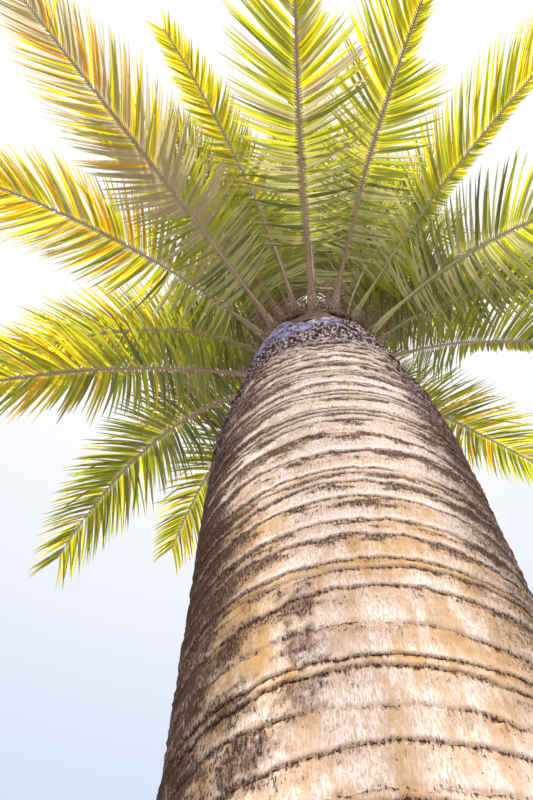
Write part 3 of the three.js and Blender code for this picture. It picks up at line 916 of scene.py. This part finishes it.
leafShape = {
    "seed": 5,
    "gap": 0.0185,  # between neighbouring leaflets along the rib
    "longest": 0.680,
    "innerSweep": 76,  # angle to the rib near the stalk, in degrees
    "outerSweep": (54, 28),  # further out it falls evenly between these
    "sweepTurn": (0.1, 0.5),  # where the inner angle gives way
    "lift": 12,
    "lowest": 0.45,  # share of the full length next to the stalk
    "fullFrom": 0.62,
    "fadeFrom": 0.55,
    "fadePower": 1.5,
    "last": 0.48,
    "young": 0.72,
    "youngPower": 0.6,
    "variation": (0.036, 0.072),  # of the length: how much it varies, and the most it may
    "width": 0.0335,
    "innerWidth": (0.52, 0.35),  # share of the width next to the stalk, and where it is full
    "outerWidth": 0.55,
    "youngWidth": 0.78,
    "rootWidth": (0.40, 0.16),  # share of its own width at a blade's root, and where it is full
    "tipPowers": (2.2, 0.85),
    "tipWidth": 0.02,
    "widthSpread": (0.86, 1.1),
    "rootBeside": 0.36,  # shares of the rib's width and thickness
    "rootAbove": 0.12,
    "stations": (0.0, 0.05, 0.13, 0.25, 0.40, 0.56, 0.72, 0.87, 1.0),
    "bow": 0.42,  # share of the length at which a leaflet's line is bowed
    "bowSweep": 4,  # how much wider and higher than its tip a leaflet sets off
    "bowLift": 3,
    "fold": 0.26,
    "skyward": 0.5,  # how far a blade's upper face turns from its frond's to the sky
    "roll": 9,
    "rollSpread": 15,
    "twistSpread": 24,
    "sweepSpread": 3.0,
    "liftSpread": 7.0,
    "sag": (0.005, 0.05),
    "sagSpread": (0.3, 1.7),
    "sagPower": 2.2,
    "missing": 0.03,
    "broken": 0.022,
    "kink": (0.35, 0.75),
    "hang": (0.6, 1.0),
    "drawnIn": 0.45,
}


# Lengths of leaflets at shares u of the leafy part: they rise by a sine to the full length and fall
# by a power towards the tip of the frond.
def leafletLengths(plan, u, hand, draw):
    shape = leafShape
    swell = lerp(shape["lowest"], 1, np.sin(np.pi / 2 * np.minimum(1, u / shape["fullFrom"])))
    outer = np.maximum(0, (u - shape["fadeFrom"]) / (1 - shape["fadeFrom"])) ** shape["fadePower"]
    length = shape["longest"] * swell * lerp(1, shape["last"], outer)
    length = length * lerp(shape["young"], 1, plan["age"] ** shape["youngPower"])
    spread, most = shape["variation"]
    return length * (1 + draw.normal(0, spread, len(u)).clip(-most, most)) * keptLength(plan, u, hand)


# Leaflets' lines under their weight: each sags by a power of the share t of its length, and a
# broken one hangs straight down past its kink and is drawn in as far as it hangs.
def weighedDown(path, t, length, plan, draw):
    shape = leafShape
    count = len(path)
    sag = length * (lerp(*shape["sag"], plan["age"]) * draw.uniform(*shape["sagSpread"], count))
    path[..., 2] -= sag[:, None] * t ** shape["sagPower"]
    broken = draw.random(count) < shape["broken"]
    kink = draw.uniform(*shape["kink"], count)
    fall = broken * length * draw.uniform(*shape["hang"], count)
    hang = np.maximum(0, t - kink[:, None]) * fall[:, None]
    path[..., 2] -= hang
    pull = path - path[:, :1]
    return path - pull * (shape["drawnIn"] * hang / np.maximum(length[:, None], 0.01))[..., None]


# All leaflets of one side of a frond; hand is 1 or -1. A leaflet's line is a parabola through its
# root, a point set off wider and higher, and its tip.
def leafletLines(plan, hand, draw):
    shape = leafShape
    count = round((1 - crownShape["stalkShare"]) * plan["length"] / shape["gap"])
    u = (np.arange(count) + 0.5 + 0.25 * hand) / (count + 0.3)
    lost = shape["missing"] * (1 + 2 * plan["age"] * u**3)
    u = u[draw.random(count) > lost]
    count = len(u)
    s = lerp(crownShape["stalkShare"], 1, u)
    along, side, upper = frondFrame(plan, s)
    centre = frondCentres(plan, s)
    length = leafletLengths(plan, u, hand, draw)
    turnFrom, turnTo = shape["sweepTurn"]
    turned = fade((u - turnFrom) / (turnTo - turnFrom))
    sweep = lerp(shape["innerSweep"], lerp(*shape["outerSweep"], u), turned)
    sweep = np.radians(sweep + draw.normal(0, shape["sweepSpread"], count))
    lift = np.radians(shape["lift"] + draw.normal(0, shape["liftSpread"], count))

    def heading(sweep, lift):
        across = side * (hand * np.sin(sweep) * np.cos(lift))[:, None]
        return along * np.cos(sweep)[:, None] + across + upper * (np.sin(sweep) * np.sin(lift))[:, None]

    width, thickness = stalkSection(plan, s)
    root = centre + side * (hand * shape["rootBeside"] * width)[:, None]
    root = root + upper * (shape["rootAbove"] * thickness)[:, None]
    start = heading(sweep + math.radians(shape["bowSweep"]), lift + math.radians(shape["bowLift"]))
    bow = root + start * (shape["bow"] * length)[:, None]
    tip = centre + heading(sweep, lift) * length[:, None]
    t = np.array(shape["stations"])[None, :, None]
    path = (1 - t) ** 2 * root[:, None] + 2 * t * (1 - t) * bow[:, None] + t**2 * tip[:, None]
    least, fullFrom = shape["innerWidth"]
    half = shape["width"] / 2 * lerp(least, 1, np.minimum(1, u / fullFrom))
    half = half * lerp(1, shape["outerWidth"], u**2)
    return {
        "path": weighedDown(path, t[..., 0], length, plan, draw),
        "upper": upper,
        "along": along,
        "start": unit(start),
        "root": root,
        "u": u,
        "roll": np.radians(shape["roll"] + draw.normal(0, shape["rollSpread"], count)),
        "twist": np.radians(draw.normal(0, shape["twistSpread"], count)),
        "half": half * lerp(shape["youngWidth"], 1, plan["age"]) * draw.uniform(*shape["widthSpread"], count),
        "frond": np.full(count, plan["number"]),
        "chance": draw.random(count),
    }


# Blades from their lines: a half width that rises to its full size near the root and narrows to
# the tip by two powers, a keel along the middle, and a roll that turns on its way.
def leafletBlades(lines):
    shape = leafShape
    path = lines["path"]
    t = np.array(shape["stations"])[None, :]
    ahead = unit(np.gradient(path, axis=1))
    roll = (lines["roll"][:, None] + lines["twist"][:, None] * t)[..., None]
    upper = lerp(lines["upper"], [0, 0, 1], shape["skyward"])[:, None] + 0 * ahead
    upper = unit(upper - ahead * (upper * ahead).sum(-1, keepdims=True))
    leading = np.cross(ahead, upper)
    hand = np.sign((leading * lines["along"][:, None]).sum(-1, keepdims=True))
    leading = leading * np.cos(roll) + upper * np.sin(roll) * hand
    top = np.cross(leading, ahead)
    least, fullFrom = shape["rootWidth"]
    inner, outer = shape["tipPowers"]
    width = lerp(least, 1, fade(t / fullFrom)) * np.maximum(1 - t**inner, 0) ** outer + shape["tipWidth"]
    half = (lines["half"][:, None] * width)[..., None]
    keel = shape["fold"] * half
    return np.stack([path - leading * half - top * keel, path, path + leading * half - top * keel], 2)


tintShape = {
    "goldFronds": {  # how far these fronds lean towards gold
        0: 0.75, 2: 1.0, 3: 0.5, 5: 0.9, 6: 0.64, 7: 0.5, 8: 0.6, 10: 0.9, 12: 0.4, 13: 0.6, 14: 0.9,
        15: 0.8, 16: 0.6, 25: 0.5,
    },
    "shadedShare": {
        0: 0.36, 2: 0.46, 3: 0.50, 5: 0.70, 6: 0.10, 7: 0.70, 8: 0.25, 10: 0.42, 12: 0.4, 13: 0.1,
        14: 0.70, 16: 0.15,
    },
    "otherShade": 0.38,
    "otherLean": 0.45,  # at most
    "innerLean": (0.35, 0.45),  # share of the lean next to the stalk, and where it is full
    "backTo": 0.6,
    "weights": {  # what the parts add to a leaflet's score
        "chance": 0.40, "lean": 0.42, "out": 0.36, "young": 0.20, "back": 0.34, "shade": -0.34,
        "always": 0.04,
    },
    "taupeShare": {0: 0.45, 5: 1.0, 10: 0.25},  # of the shaded ones
    "names": (
        "leaf_deep", "leaf_olive", "leaf_green", "leaf_fresh", "leaf_lime", "leaf_yellow", "leaf_gold",
        "leaf_taupe", "leaf_dry", "leaf_khaki",
    ),
    "apart": ("leaf_taupe", "leaf_dry", "leaf_khaki"),  # the ones that aren't dealt by the score
    "steps": (0.14, 0.32, 0.48, 0.63, 0.77, 0.92, 1.2),
    "taupeFrom": 0.12,  # share of the leafy part
    "dryFrom": 0.985,
    "khakiShare": 0.62,  # of the darkest tints, on fronds that point to the front
    "khakiOf": 3,
    "khakiBack": 0.38,
    "khakiTo": 0.75,
    "shuffles": {"shade": 7919, "taupe": 613, "khaki": 331},  # factors for further random numbers
    "goldFrom": 0.65,  # the least lean at which a frond has gold leaflets
}


# Tint number of each leaflet, dealt out by a score: the frond's own lean, the share along the
# rib, how far the frond points to the back, and a random part. The score rises along the rib,
# partly the leaflets' own colour and partly painted shade on the inner leaflets under the fronds
# above. A part of each frond's leaflets is in painted shade: they score less, and some of them
# are taupe. Where a frond leans less than goldFrom, the score stops below gold. Towards the front
# some of the darker leaflets are khaki, painted light from below, and the leaflets with the
# highest random part are dry.
def dealTints(lines):
    shape = tintShape
    weight = shape["weights"]
    numbers = [plan["number"] for plan in plans]
    lean = [shape["goldFronds"].get(number, shape["otherLean"] * hashed(number + 91)) for number in numbers]
    shaded = [shape["shadedShare"].get(number, shape["otherShade"]) for number in numbers]
    taupe = [shape["taupeShare"].get(number, 0) for number in numbers]
    young = [1 - plan["age"] for plan in plans]
    back = [0.5 - 0.5 * math.cos(math.radians(plan["bearing"])) for plan in plans]
    lean, shaded, taupe, young, back = np.array([lean, shaded, taupe, young, back])[:, lines["frond"]]
    u, chance = lines["u"], lines["chance"]

    def picked(kind, share):
        return chance * shape["shuffles"][kind] % 1 < share

    inShade = picked("shade", shaded)
    least, fullFrom = shape["innerLean"]
    # The rise along the rib partly paints shade on the inner leaflets under the fronds above.
    score = weight["chance"] * chance + weight["lean"] * lean * lerp(least, 1, fade(u / fullFrom))
    score = score + weight["out"] * u + weight["always"] + weight["young"] * young * (1 - u)
    score = score + weight["back"] * back**3 * fade(1 - u / shape["backTo"]) + weight["shade"] * inShade
    score = np.where(lean < shape["goldFrom"], np.minimum(score, shape["steps"][-2] - 0.01), score)
    tint = np.digitize(np.minimum(score, shape["steps"][-1] - 0.01), shape["steps"])
    taupeTint, dryTint, khakiTint = (shape["names"].index(name) for name in shape["apart"])
    tint = np.where(inShade & picked("taupe", taupe) & (u > shape["taupeFrom"]), taupeTint, tint)
    # Painted light from below: some darker inner leaflets of the fronds that point to the front are khaki.
    paintedLight = (back < shape["khakiBack"]) & (u < shape["khakiTo"]) & picked("khaki", shape["khakiShare"])
    tint = np.where((tint < shape["khakiOf"]) & paintedLight, khakiTint, tint)
    return np.where(chance > shape["dryFrom"], dryTint, tint)


leafColours = {  # base colour and the colour of the light that comes through
    "leaf_deep": ((0.190, 0.180, 0.075), (0.09, 0.092, 0.018)),
    "leaf_olive": ((0.310, 0.285, 0.115), (0.18, 0.175, 0.030)),
    "leaf_green": ((0.270, 0.280, 0.080), (0.28, 0.29, 0.020)),
    "leaf_fresh": ((0.270, 0.300, 0.055), (0.42, 0.43, 0.018)),
    "leaf_lime": ((0.310, 0.330, 0.040), (0.66, 0.64, 0.018)),
    "leaf_yellow": ((0.430, 0.370, 0.050), (0.90, 0.70, 0.016)),
    "leaf_gold": ((0.500, 0.330, 0.050), (0.95, 0.55, 0.014)),
    "leaf_taupe": ((0.530, 0.450, 0.310), (0.50, 0.430, 0.230)),
    "leaf_dry": ((0.400, 0.280, 0.150), (0.45, 0.30, 0.120)),
    "leaf_khaki": ((0.560, 0.530, 0.290), (0.50, 0.480, 0.170)),
}
leafSurface = {"through": 0.50, "roughness": 0.45, "specular": 0.35}


# A leaf's own colour on its surface, and another for the light that comes through.
def makeLeafFinish(name, colours, surface):
    look = Finish(bpy.data.materials.new(name))
    base, through = colours
    sockets = {"Base Color": (*base, 1), "Roughness": surface["roughness"]}
    sockets["Specular IOR Level"] = surface["specular"]
    front = look.principled(sockets)
    back = look.node("ShaderNodeBsdfTranslucent", {}, {"Color": (*through, 1)})
    return look.finished(look.node("ShaderNodeMixShader", {}, {0: surface["through"], 1: front, 2: back}))


# The lines of all fronds' leaflets, joined.
def joinedLines(seed):
    draw = np.random.default_rng(seed)
    parts = [leafletLines(plan, hand, draw) for plan in plans for hand in (1, -1)]
    return {key: np.concatenate([part[key] for part in parts]) for key in parts[0]}


leaflets = joinedLines(leafShape["seed"])
blades = leafletBlades(leaflets)
tints = dealTints(leaflets)
print("leaflets:", len(blades), "tints:", np.bincount(tints).tolist())
bladeQuads = gridQuads(blades.shape[1], blades.shape[2])
for tint, tintName in enumerate(tintShape["names"]):
    chosen = blades[tints == tint]
    bladeFaces = repeated(bladeQuads, len(chosen), blades.shape[1] * blades.shape[2])
    tintFinish = makeLeafFinish(tintName, leafColours[tintName], leafSurface)
    settle(makePiece(tintName, chosen, [bladeFaces], tintFinish), frondNodes)

knuckleShape = {
    "length": 0.026,
    "radius": 0.0075,
    "stations": (-0.25, 0.35, 1.0),  # shares of the length
    "fullness": (0.9, 1.0, 0.45),
    "flatness": 0.8,
    "colour": (0.42, 0.34, 0.26),
}


# The swelling at each leaflet's root: a short three-sided spindle along its first stretch.
def buildKnuckles(shape, lines, material):
    stretch = np.array(shape["stations"]) * shape["length"]
    centres = lines["root"][:, None] + lines["start"][:, None] * stretch[None, :, None]
    side = unit(np.cross(lines["start"], lines["upper"]))[:, None] + 0 * centres
    upper = np.cross(side, lines["start"][:, None] + 0 * centres)
    size = lines["half"] / leafShape["width"] * 2 * shape["radius"]
    size = size[:, None] * np.array(shape["fullness"])
    points, faces = sweepTubes(centres, -side, upper, size, size * shape["flatness"], 3)
    return makePiece("leaf_knuckles", points, faces, material)


def makeKnuckleFinish(colour):
    look = Finish(bpy.data.materials.new("leaf knuckle"))
    return look.surfaced({"Base Color": (*colour, 1), "Roughness": 0.6})


knuckleMaterial = makeKnuckleFinish(knuckleShape["colour"])
settle(buildKnuckles(knuckleShape, leaflets, knuckleMaterial), frondNodes)

print("heart, sheaths and collar")
heartShape = {
    "rows": 70,
    "columns": 180,
    "from": 5.30,
    "ridges": 0.007,
    "ridgeCells": (90, 0.16),
    "coneShare": 0.985,
    "sunk": 0.012,
    "sunkBelowRim": 0.02,
    "seed": 41,
}


# The cone inside the crown: the rim's circle narrows to the heart's tip, with upright ridges.
def buildHeart(shape, material):
    top = trunkShape["crownHeight"] + trunkShape["heartHeight"]
    level = np.linspace(shape["from"], top, shape["rows"])
    turn = np.arange(shape["columns"]) / shape["columns"]
    height, turns = np.meshgrid(level, turn, indexing="ij")
    ridge = wallNoise(turns, height, *shape["ridgeCells"], shape["seed"]) - 0.5
    radius = coneRadius(height) * shape["coneShare"] - shape["sunk"] + shape["ridges"] * ridge
    radius = np.where(height < trunkShape["rimHeight"], radius - shape["sunkBelowRim"], radius)
    wall = roundAxis(radius, 2 * np.pi * turns, height).reshape(-1, 3)
    points = np.vstack([wall, [[0, 0, shape["from"]], [0, 0, top]]])
    return makePiece("crown_heart", points, drumFaces(*height.shape), material)


# Closes pairs of equal grids, outer and inner, into plates: both faces and a strip round the edge.
def closedPlates(outer, inner):
    copies, rows, columns = outer.shape[:3]
    each = rows * columns
    points = np.stack([outer.reshape(copies, each, 3), inner.reshape(copies, each, 3)], 1)
    grid = gridQuads(rows, columns)
    index = np.arange(each).reshape(rows, columns)
    edge = np.concatenate([index[0, :-1], index[:-1, -1], index[-1, :0:-1], index[:0:-1, 0]])
    after = np.roll(edge, -1)
    rim = np.stack([after, edge, edge + each, after + each], -1)
    faces = np.concatenate([grid, grid[:, ::-1] + each, rim])
    return points.reshape(-1, 3), [repeated(faces, copies, 2 * each)]


claspShape = {
    "rows": 12,
    "columns": 15,
    "drop": 0.21,
    "dropSpread": (0.8, 1.2),
    "youngDrop": 0.7,
    "span": (0.15, 0.045),  # half the width at the bottom and at the stalk
    "spanPower": 0.8,
    "youngSpan": 0.6,
    "clear": 0.004,
    "stand": 0.020,
    "standBelow": 0.25,
    "thickness": 0.006,
    "ragged": 0.030,
    "raggedStand": 0.2,
    "leastRadius": 0.05,
    "seed": 61,
}


# The old sheaths under the stalks: each is a plate on the cone, wide below and narrowing up to its
# stalk, thick in the middle and thin and ragged at its sides.
def buildClasps(shape, material):
    draw = np.random.default_rng(shape["seed"])
    across = np.linspace(-1, 1, shape["columns"])[None, :]
    rise = np.linspace(0, 1, shape["rows"])[:, None]
    outers, inners = [], []
    for plan in plans:
        drop = shape["drop"] * lerp(*shape["dropSpread"], draw.random())
        drop = drop * lerp(shape["youngDrop"], 1, plan["age"])
        height = plan["foot"] - drop * (1 - rise) + 0 * across
        tear = shape["ragged"] * (draw.random((shape["rows"], shape["columns"])) - 0.5)
        span = lerp(*shape["span"], rise ** shape["spanPower"]) * lerp(shape["youngSpan"], 1, plan["age"])
        span = span + tear * abs(across)
        base = np.maximum(coneRadius(height), shape["leastRadius"])
        angle = np.radians(plan["bearing"]) + across * span / base
        stand = shape["stand"] * (1 - across**2) * lerp(shape["standBelow"], 1, rise)
        outer = base + shape["clear"] + stand + shape["raggedStand"] * tear
        outers.append(roundAxis(outer, angle, height))
        inners.append(roundAxis(outer - shape["thickness"], angle, height))
    points, faces = closedPlates(np.array(outers), np.array(inners))
    return makePiece("stalk_sheaths", points, faces, material)


sheathColours = {
    "brown": (0.130, 0.070, 0.050),
    "rust": (0.19, 0.095, 0.060),
    "pale": (0.33, 0.24, 0.20),
    "dark": (0.030, 0.017, 0.013),
}


def makeSheathFinish(colours):
    look = Finish(bpy.data.materials.new("fibrous sheath"))
    place = look.place()
    strands = look.grain(look.stretched(place, (1, 1, 0.15)), 130)
    look.begin(colours, "brown")
    look.lay(strands.ramp(0.40, 0.62), "rust")
    look.lay(look.grain(place, 11).ramp(0.52, 0.68) * 0.7, "pale")
    look.lay(strands.ramp(0.44, 0.34), "dark")
    relief = look.bumped(strands, 0.8, 0.006)
    return look.surfaced({"Base Color": look.tone, "Roughness": 0.85, "Normal": relief})


sheathMaterial = makeSheathFinish(sheathColours)
settle(buildHeart(heartShape, sheathMaterial), ["trunk"])
settle(buildClasps(claspShape, sheathMaterial), ["sheath_collar"])

fibreShape = {
    "seed": 17,
    "rimStrands": 900,
    "stalkStrands": 34,
    "stations": 5,
    "length": (0.05, 0.24),
    "radius": 0.0028,
    "radiusSpread": (0.5, 1.3),
    "rimBand": 0.62,  # how far up the cone they grow, thinning out by this power
    "rimPower": 1.6,
    "clear": 0.004,
    "outward": (0.2, 1.0),
    "upward": 0.9,
    "onStalk": (0.02, 0.085),  # shares of a frond's length
    "besideStalk": 0.46,
    "sideways": 0.9,
    "alongStalk": (-0.5, 0.8),
    "scatter": 0.35,
    "droop": 0.25,
    "colour": (0.17, 0.075, 0.040),
}


# Loose brown fibres: parabolas from the cone between the stalks and from the edges of the stalks'
# feet, each a three-sided thread that thins to its tip.
def buildFibres(shape, material):
    draw = np.random.default_rng(shape["seed"])
    count = shape["rimStrands"]
    turn = draw.uniform(0, 2 * np.pi, count)
    level = trunkShape["crownHeight"] + shape["rimBand"] * draw.random(count) ** shape["rimPower"]
    starts = [roundAxis(coneRadius(level) + shape["clear"], turn, level)]
    outward = roundAxis(1, turn, 0 * turn) * draw.uniform(*shape["outward"], count)[:, None]
    headings = [outward + [0, 0, shape["upward"]]]
    for plan in plans:
        s = draw.uniform(*shape["onStalk"], shape["stalkStrands"])
        along, side, upper = frondFrame(plan, s)
        hand = draw.choice([-1.0, 1.0], len(s))[:, None]
        width = stalkSection(plan, s)[0][:, None]
        starts.append(frondCentres(plan, s) + side * hand * width * shape["besideStalk"])
        forward = along * draw.uniform(*shape["alongStalk"], len(s))[:, None]
        headings.append(side * hand * shape["sideways"] + forward)
    start, heading = np.concatenate(starts), np.concatenate(headings)
    count = len(start)
    heading = unit(heading + draw.normal(0, shape["scatter"], (count, 3)))
    length = draw.uniform(*shape["length"], count)
    t = np.linspace(0, 1, shape["stations"])[None, :, None]
    curl = draw.normal(0, shape["scatter"], (count, 1, 3)) - [0, 0, shape["droop"]]
    path = start[:, None] + (heading[:, None] * t + curl * t**2) * length[:, None, None]
    ahead = unit(np.gradient(path, axis=1))
    side = unit(np.cross(ahead, draw.normal(0, 1, (count, 1, 3))))
    thin = shape["radius"] * draw.uniform(*shape["radiusSpread"], (count, 1)) * (1.05 - t[..., 0])
    points, faces = sweepTubes(path, side, np.cross(ahead, side), thin, thin, 3)
    return makePiece("crown_fibres", points, faces, material)


def makeFibreFinish(colour, pale):
    look = Finish(bpy.data.materials.new("loose fibre"))
    patches = look.grain(look.place(), 9, 2.0).ramp(0.40, 0.62)
    return look.surfaced({"Base Color": look.mixed(patches, colour, pale), "Roughness": 0.8})


fibreMaterial = makeFibreFinish(fibreShape["colour"], sheathColours["pale"])
settle(buildFibres(fibreShape, fibreMaterial), ["sheath_collar"])

collarShape = {
    "seed": 31,
    "columns": 320,
    "rows": 12,
    "bottom": 5.330,
    "top": 5.415,
    "wall": 0.016,
    "waxWall": 0.35,  # share of the wall that the wax adds on the outside
    "swell": 0.020,
    "waxFrom": -90,  # bearings between which the smooth waxy sheath lies
    "waxTo": 24,
    "waxFades": (12, 16),  # degrees over which the wax sets in and ends
    "waxTop": 5.415,
    "waxRagged": 0.012,
    "peakBearing": -24,
    "peak": 0.34,
    "peakWidth": 8,
    "lean": 0.42,
    "ragged": 0.035,
    "tornCells": (70, 26),  # round the rim, fine and broad
    "broadTear": 0.8,
    "chipCells": (90, 0.016),
    "chips": (0.016, 0.006),  # on torn bark and on wax
    "inside": 0.045,
    "thinnest": 0.006,
}


# The ring of old sheath round the rim: a closed band whose upper edge is torn, and stands higher
# and smoother along the stretch that still has its wax.
def buildCollar(shape, material):
    turn = np.arange(shape["columns"]) / shape["columns"]
    bearing = wrapped(turn * 360)
    fadeIn, fadeOut = shape["waxFades"]
    wax = fade((bearing - shape["waxFrom"]) / fadeIn) * fade((shape["waxTo"] - bearing) / fadeOut)
    seed = shape["seed"]
    fineCells, broadCells = shape["tornCells"]
    torn = wallNoise(turn, 0 * turn, fineCells, 1.0, seed) - 0.5
    torn = torn + shape["broadTear"] * (wallNoise(turn, 0 * turn, broadCells, 1.0, seed + 1) - 0.5)
    peak = shape["peak"] * np.exp(-(((bearing - shape["peakBearing"]) / shape["peakWidth"]) ** 2))
    tornTop = shape["top"] + shape["ragged"] * torn
    top = lerp(tornTop, shape["waxTop"] + shape["waxRagged"] * torn + peak, wax)
    share = np.linspace(0, 1, shape["rows"])[:, None]
    height = shape["bottom"] + (top - shape["bottom"])[None] * share - rimSag(turn)[None]
    turns = turn[None] + 0 * height
    swell = shape["swell"] * (np.sin(np.pi * np.minimum(share * 1.2, 1)) - share**2)
    bark = trunkShape["rimRadius"] + swell - shape["lean"] * np.maximum(0, height - shape["waxTop"])
    chips = wallNoise(turns, height, *shape["chipCells"], seed + 2) - 0.5
    outer = bark + shape["wall"] * (0.5 + shape["waxWall"] * wax) + lerp(*shape["chips"], wax) * chips
    inner = np.minimum(trunkShape["rimRadius"] - shape["inside"], outer - shape["thinnest"])
    rings = [(outer, height), (inner[::-1], height[::-1] - 0.004)]
    section = np.concatenate([roundAxis(radius, 2 * np.pi * turns, level) for radius, level in rings])
    rows, columns = section.shape[:2]
    quads = gridQuads(rows + 1, columns, True) % (rows * columns)
    values = {"wax": np.broadcast_to(wax[None], (rows, columns))}
    return makePiece("rim_collar", section, [quads], material, values)


collarColours = {
    "bark": (0.17, 0.105, 0.100),
    "barkPale": (0.50, 0.39, 0.37),
    "pit": (0.030, 0.017, 0.015),
}


def makeCollarFinish(colours):
    look = Finish(bpy.data.materials.new("rim collar"))
    place = look.place()
    wax = look.attribute("wax")
    chips = look.grain(place, 46)
    look.begin(colours, "bark")
    look.lay(chips.ramp(0.52, 0.42), "barkPale")
    look.lay(chips.ramp(0.51, 0.56), "pit")
    tone = look.mixed((wax + chips.swing(1.2)).ramp(0.35, 0.60), look.tone, waxTone(look, place))
    relief = chips * (1.1 - 0.9 * wax) + look.grain(place, 16, 4.0) * 0.4
    normal = look.bumped(relief, 0.7, 0.008)
    return look.surfaced({"Base Color": tone, "Roughness": 0.80 - 0.25 * wax, "Normal": normal})


collarMaterial = makeCollarFinish(collarColours)
settle(buildCollar(collarShape, collarMaterial), ["sheath_collar"])

spearShape = {
    "height": 2.150,
    "radius": 0.044,
    "stations": 60,
    "pleats": 9,
    "pleatSides": 6,
    "pleatDepth": 0.16,
    "turns": 0.35,
    "narrowing": 1.4,
    "tipShare": 0.02,
    "clear": 0.001,  # over the heart's tip
    "short": 0.004,  # how much lower it ends than the model's
    "colour": (0.36, 0.42, 0.085),
    "paleColour": (0.62, 0.58, 0.22),
}


# The closed spear leaf: a spindle whose radius falls as 1 minus a power of the height's share t,
# with pleats that wind slowly and flatten towards the tip.
def buildSpear(shape, material):
    base = trunkShape["crownHeight"] + trunkShape["heartHeight"]
    t = np.linspace(0, 1, shape["stations"])[:, None]
    columns = shape["pleats"] * shape["pleatSides"]
    angle = 2 * np.pi * np.arange(columns)[None] / columns
    pleat = shape["pleatDepth"] * (1 + np.cos(shape["pleats"] * angle)) / 2 * (1 - 0.5 * t)
    radius = shape["radius"] * np.maximum(1 - t ** shape["narrowing"], shape["tipShare"]) * (1 - pleat)
    height = base + shape["clear"] + (shape["height"] - shape["short"]) * t + 0 * angle
    wall = roundAxis(radius, angle + 2 * np.pi * shape["turns"] * t, height)
    ring = np.arange(columns)[None]
    lids = [ring[:, ::-1], ring + columns * (shape["stations"] - 1)]
    return makePiece("spear", wall, [gridQuads(shape["stations"], columns, True)] + lids, material)


def makeSpearFinish(colour, pale):
    look = Finish(bpy.data.materials.new("spear leaf"))
    grain = look.grain(look.stretched(look.place(), (1, 1, 0.04)), 140)
    tone = look.mixed(grain.ramp(0.35, 0.65), colour, pale)
    return look.surfaced({"Base Color": tone, "Roughness": 0.5, "Normal": look.bumped(grain, 0.4, 0.002)})


spearMaterial = makeSpearFinish(spearShape["colour"], spearShape["paleColour"])
settle(buildSpear(spearShape, spearMaterial), ["spear_leaf"])

print("floor, light and camera")
studioShape = {
    "floorReach": 40.0,
    "floorColour": (0.78, 0.77, 0.75),
    "lamps": {  # direction towards the light, strength, size in degrees, colour
        "sun": ((-0.14, -0.28, 1.0), 7.0, 1.5, (1.0, 0.96, 0.88)),
        "key": ((0.50, -1.0, 0.60), 2.05, 20.0, (1.0, 0.96, 0.93)),
    },
    "skyLow": (0.66, 0.75, 0.95),
    "skyHigh": (1.0, 1.0, 1.0),
    "ground": (0.62, 0.58, 0.52),  # the light that comes up from below
}


# The floor, two lamps, and a sky that is blue low down, white above and brown from below.
def buildStudio(shape):
    reach = shape["floorReach"]
    corners = [(-reach, -reach, 0), (reach, -reach, 0), (reach, reach, 0), (-reach, reach, 0)]
    look = Finish(bpy.data.materials.new("floor"))
    material = look.surfaced({"Base Color": (*shape["floorColour"], 1), "Roughness": 0.9})
    floor = makePiece("floor", corners, [np.array([[0, 1, 2, 3]])], material)
    floor.visible_diffuse = False  # the sky's ground colour lights the crown in its stead
    for name, (direction, strength, size, colour) in shape["lamps"].items():
        lamp = bpy.data.lights.new(name, "SUN")
        lamp.energy = strength
        lamp.color = colour
        lamp.angle = math.radians(size)
        holder = bpy.data.objects.new(name, lamp)
        holder.rotation_euler = Vector(direction).to_track_quat("Z", "Y").to_euler()
        bpy.context.scene.collection.objects.link(holder)
    world = bpy.data.worlds.new("sky")
    sky = Finish(world)
    direction = sky.node("ShaderNodeTexCoord", output="Generated")
    rise = sky.axis(direction, "Z")
    tone = sky.mixed(rise.ramp(0.45, 0.95), shape["skyLow"], shape["skyHigh"])
    tone = sky.mixed(rise.ramp(0.02, -0.02), tone, shape["ground"])
    light = sky.node("ShaderNodeBackground", {}, {"Color": tone})
    sky.node("ShaderNodeOutputWorld", {}, {"Surface": light})
    bpy.context.scene.world = world


buildStudio(studioShape)
bpy.context.scene.view_settings.view_transform = "Standard"

photoView = {
    "height": 800,
    "focalPixels": 680,
    "sensor": 36.0,
    "position": (0.0, -1.70, 1.45),
    "pitch": 65.3,
    "yaw": -11.3,
    "roll": 2.0,
}


# The camera at its place. Its pitch is up from level, its yaw from +Y towards +X, and its roll
# turns the picture.
def placeCamera(view):
    pitch, yaw, roll = (math.radians(view[key]) for key in ("pitch", "yaw", "roll"))
    level = math.cos(pitch)
    forward = Vector((math.sin(yaw) * level, math.cos(yaw) * level, math.sin(pitch)))
    right = Vector((math.cos(yaw), -math.sin(yaw), 0))
    above = right.cross(forward)
    across = math.cos(roll) * right + math.sin(roll) * above
    upright = math.cos(roll) * above - math.sin(roll) * right
    lens = bpy.data.cameras.new("camera")
    lens.sensor_width = view["sensor"]
    lens.lens = view["focalPixels"] / view["height"] * view["sensor"]
    lens.clip_start = 0.05
    lens.clip_end = 200
    camera = bpy.data.objects.new("camera", lens)
    turn = Matrix((across, upright, -forward)).transposed()
    camera.matrix_world = Matrix.Translation(view["position"]) @ turn.to_4x4()
    bpy.context.scene.collection.objects.link(camera)
    bpy.context.scene.camera = camera


placeCamera(photoView)
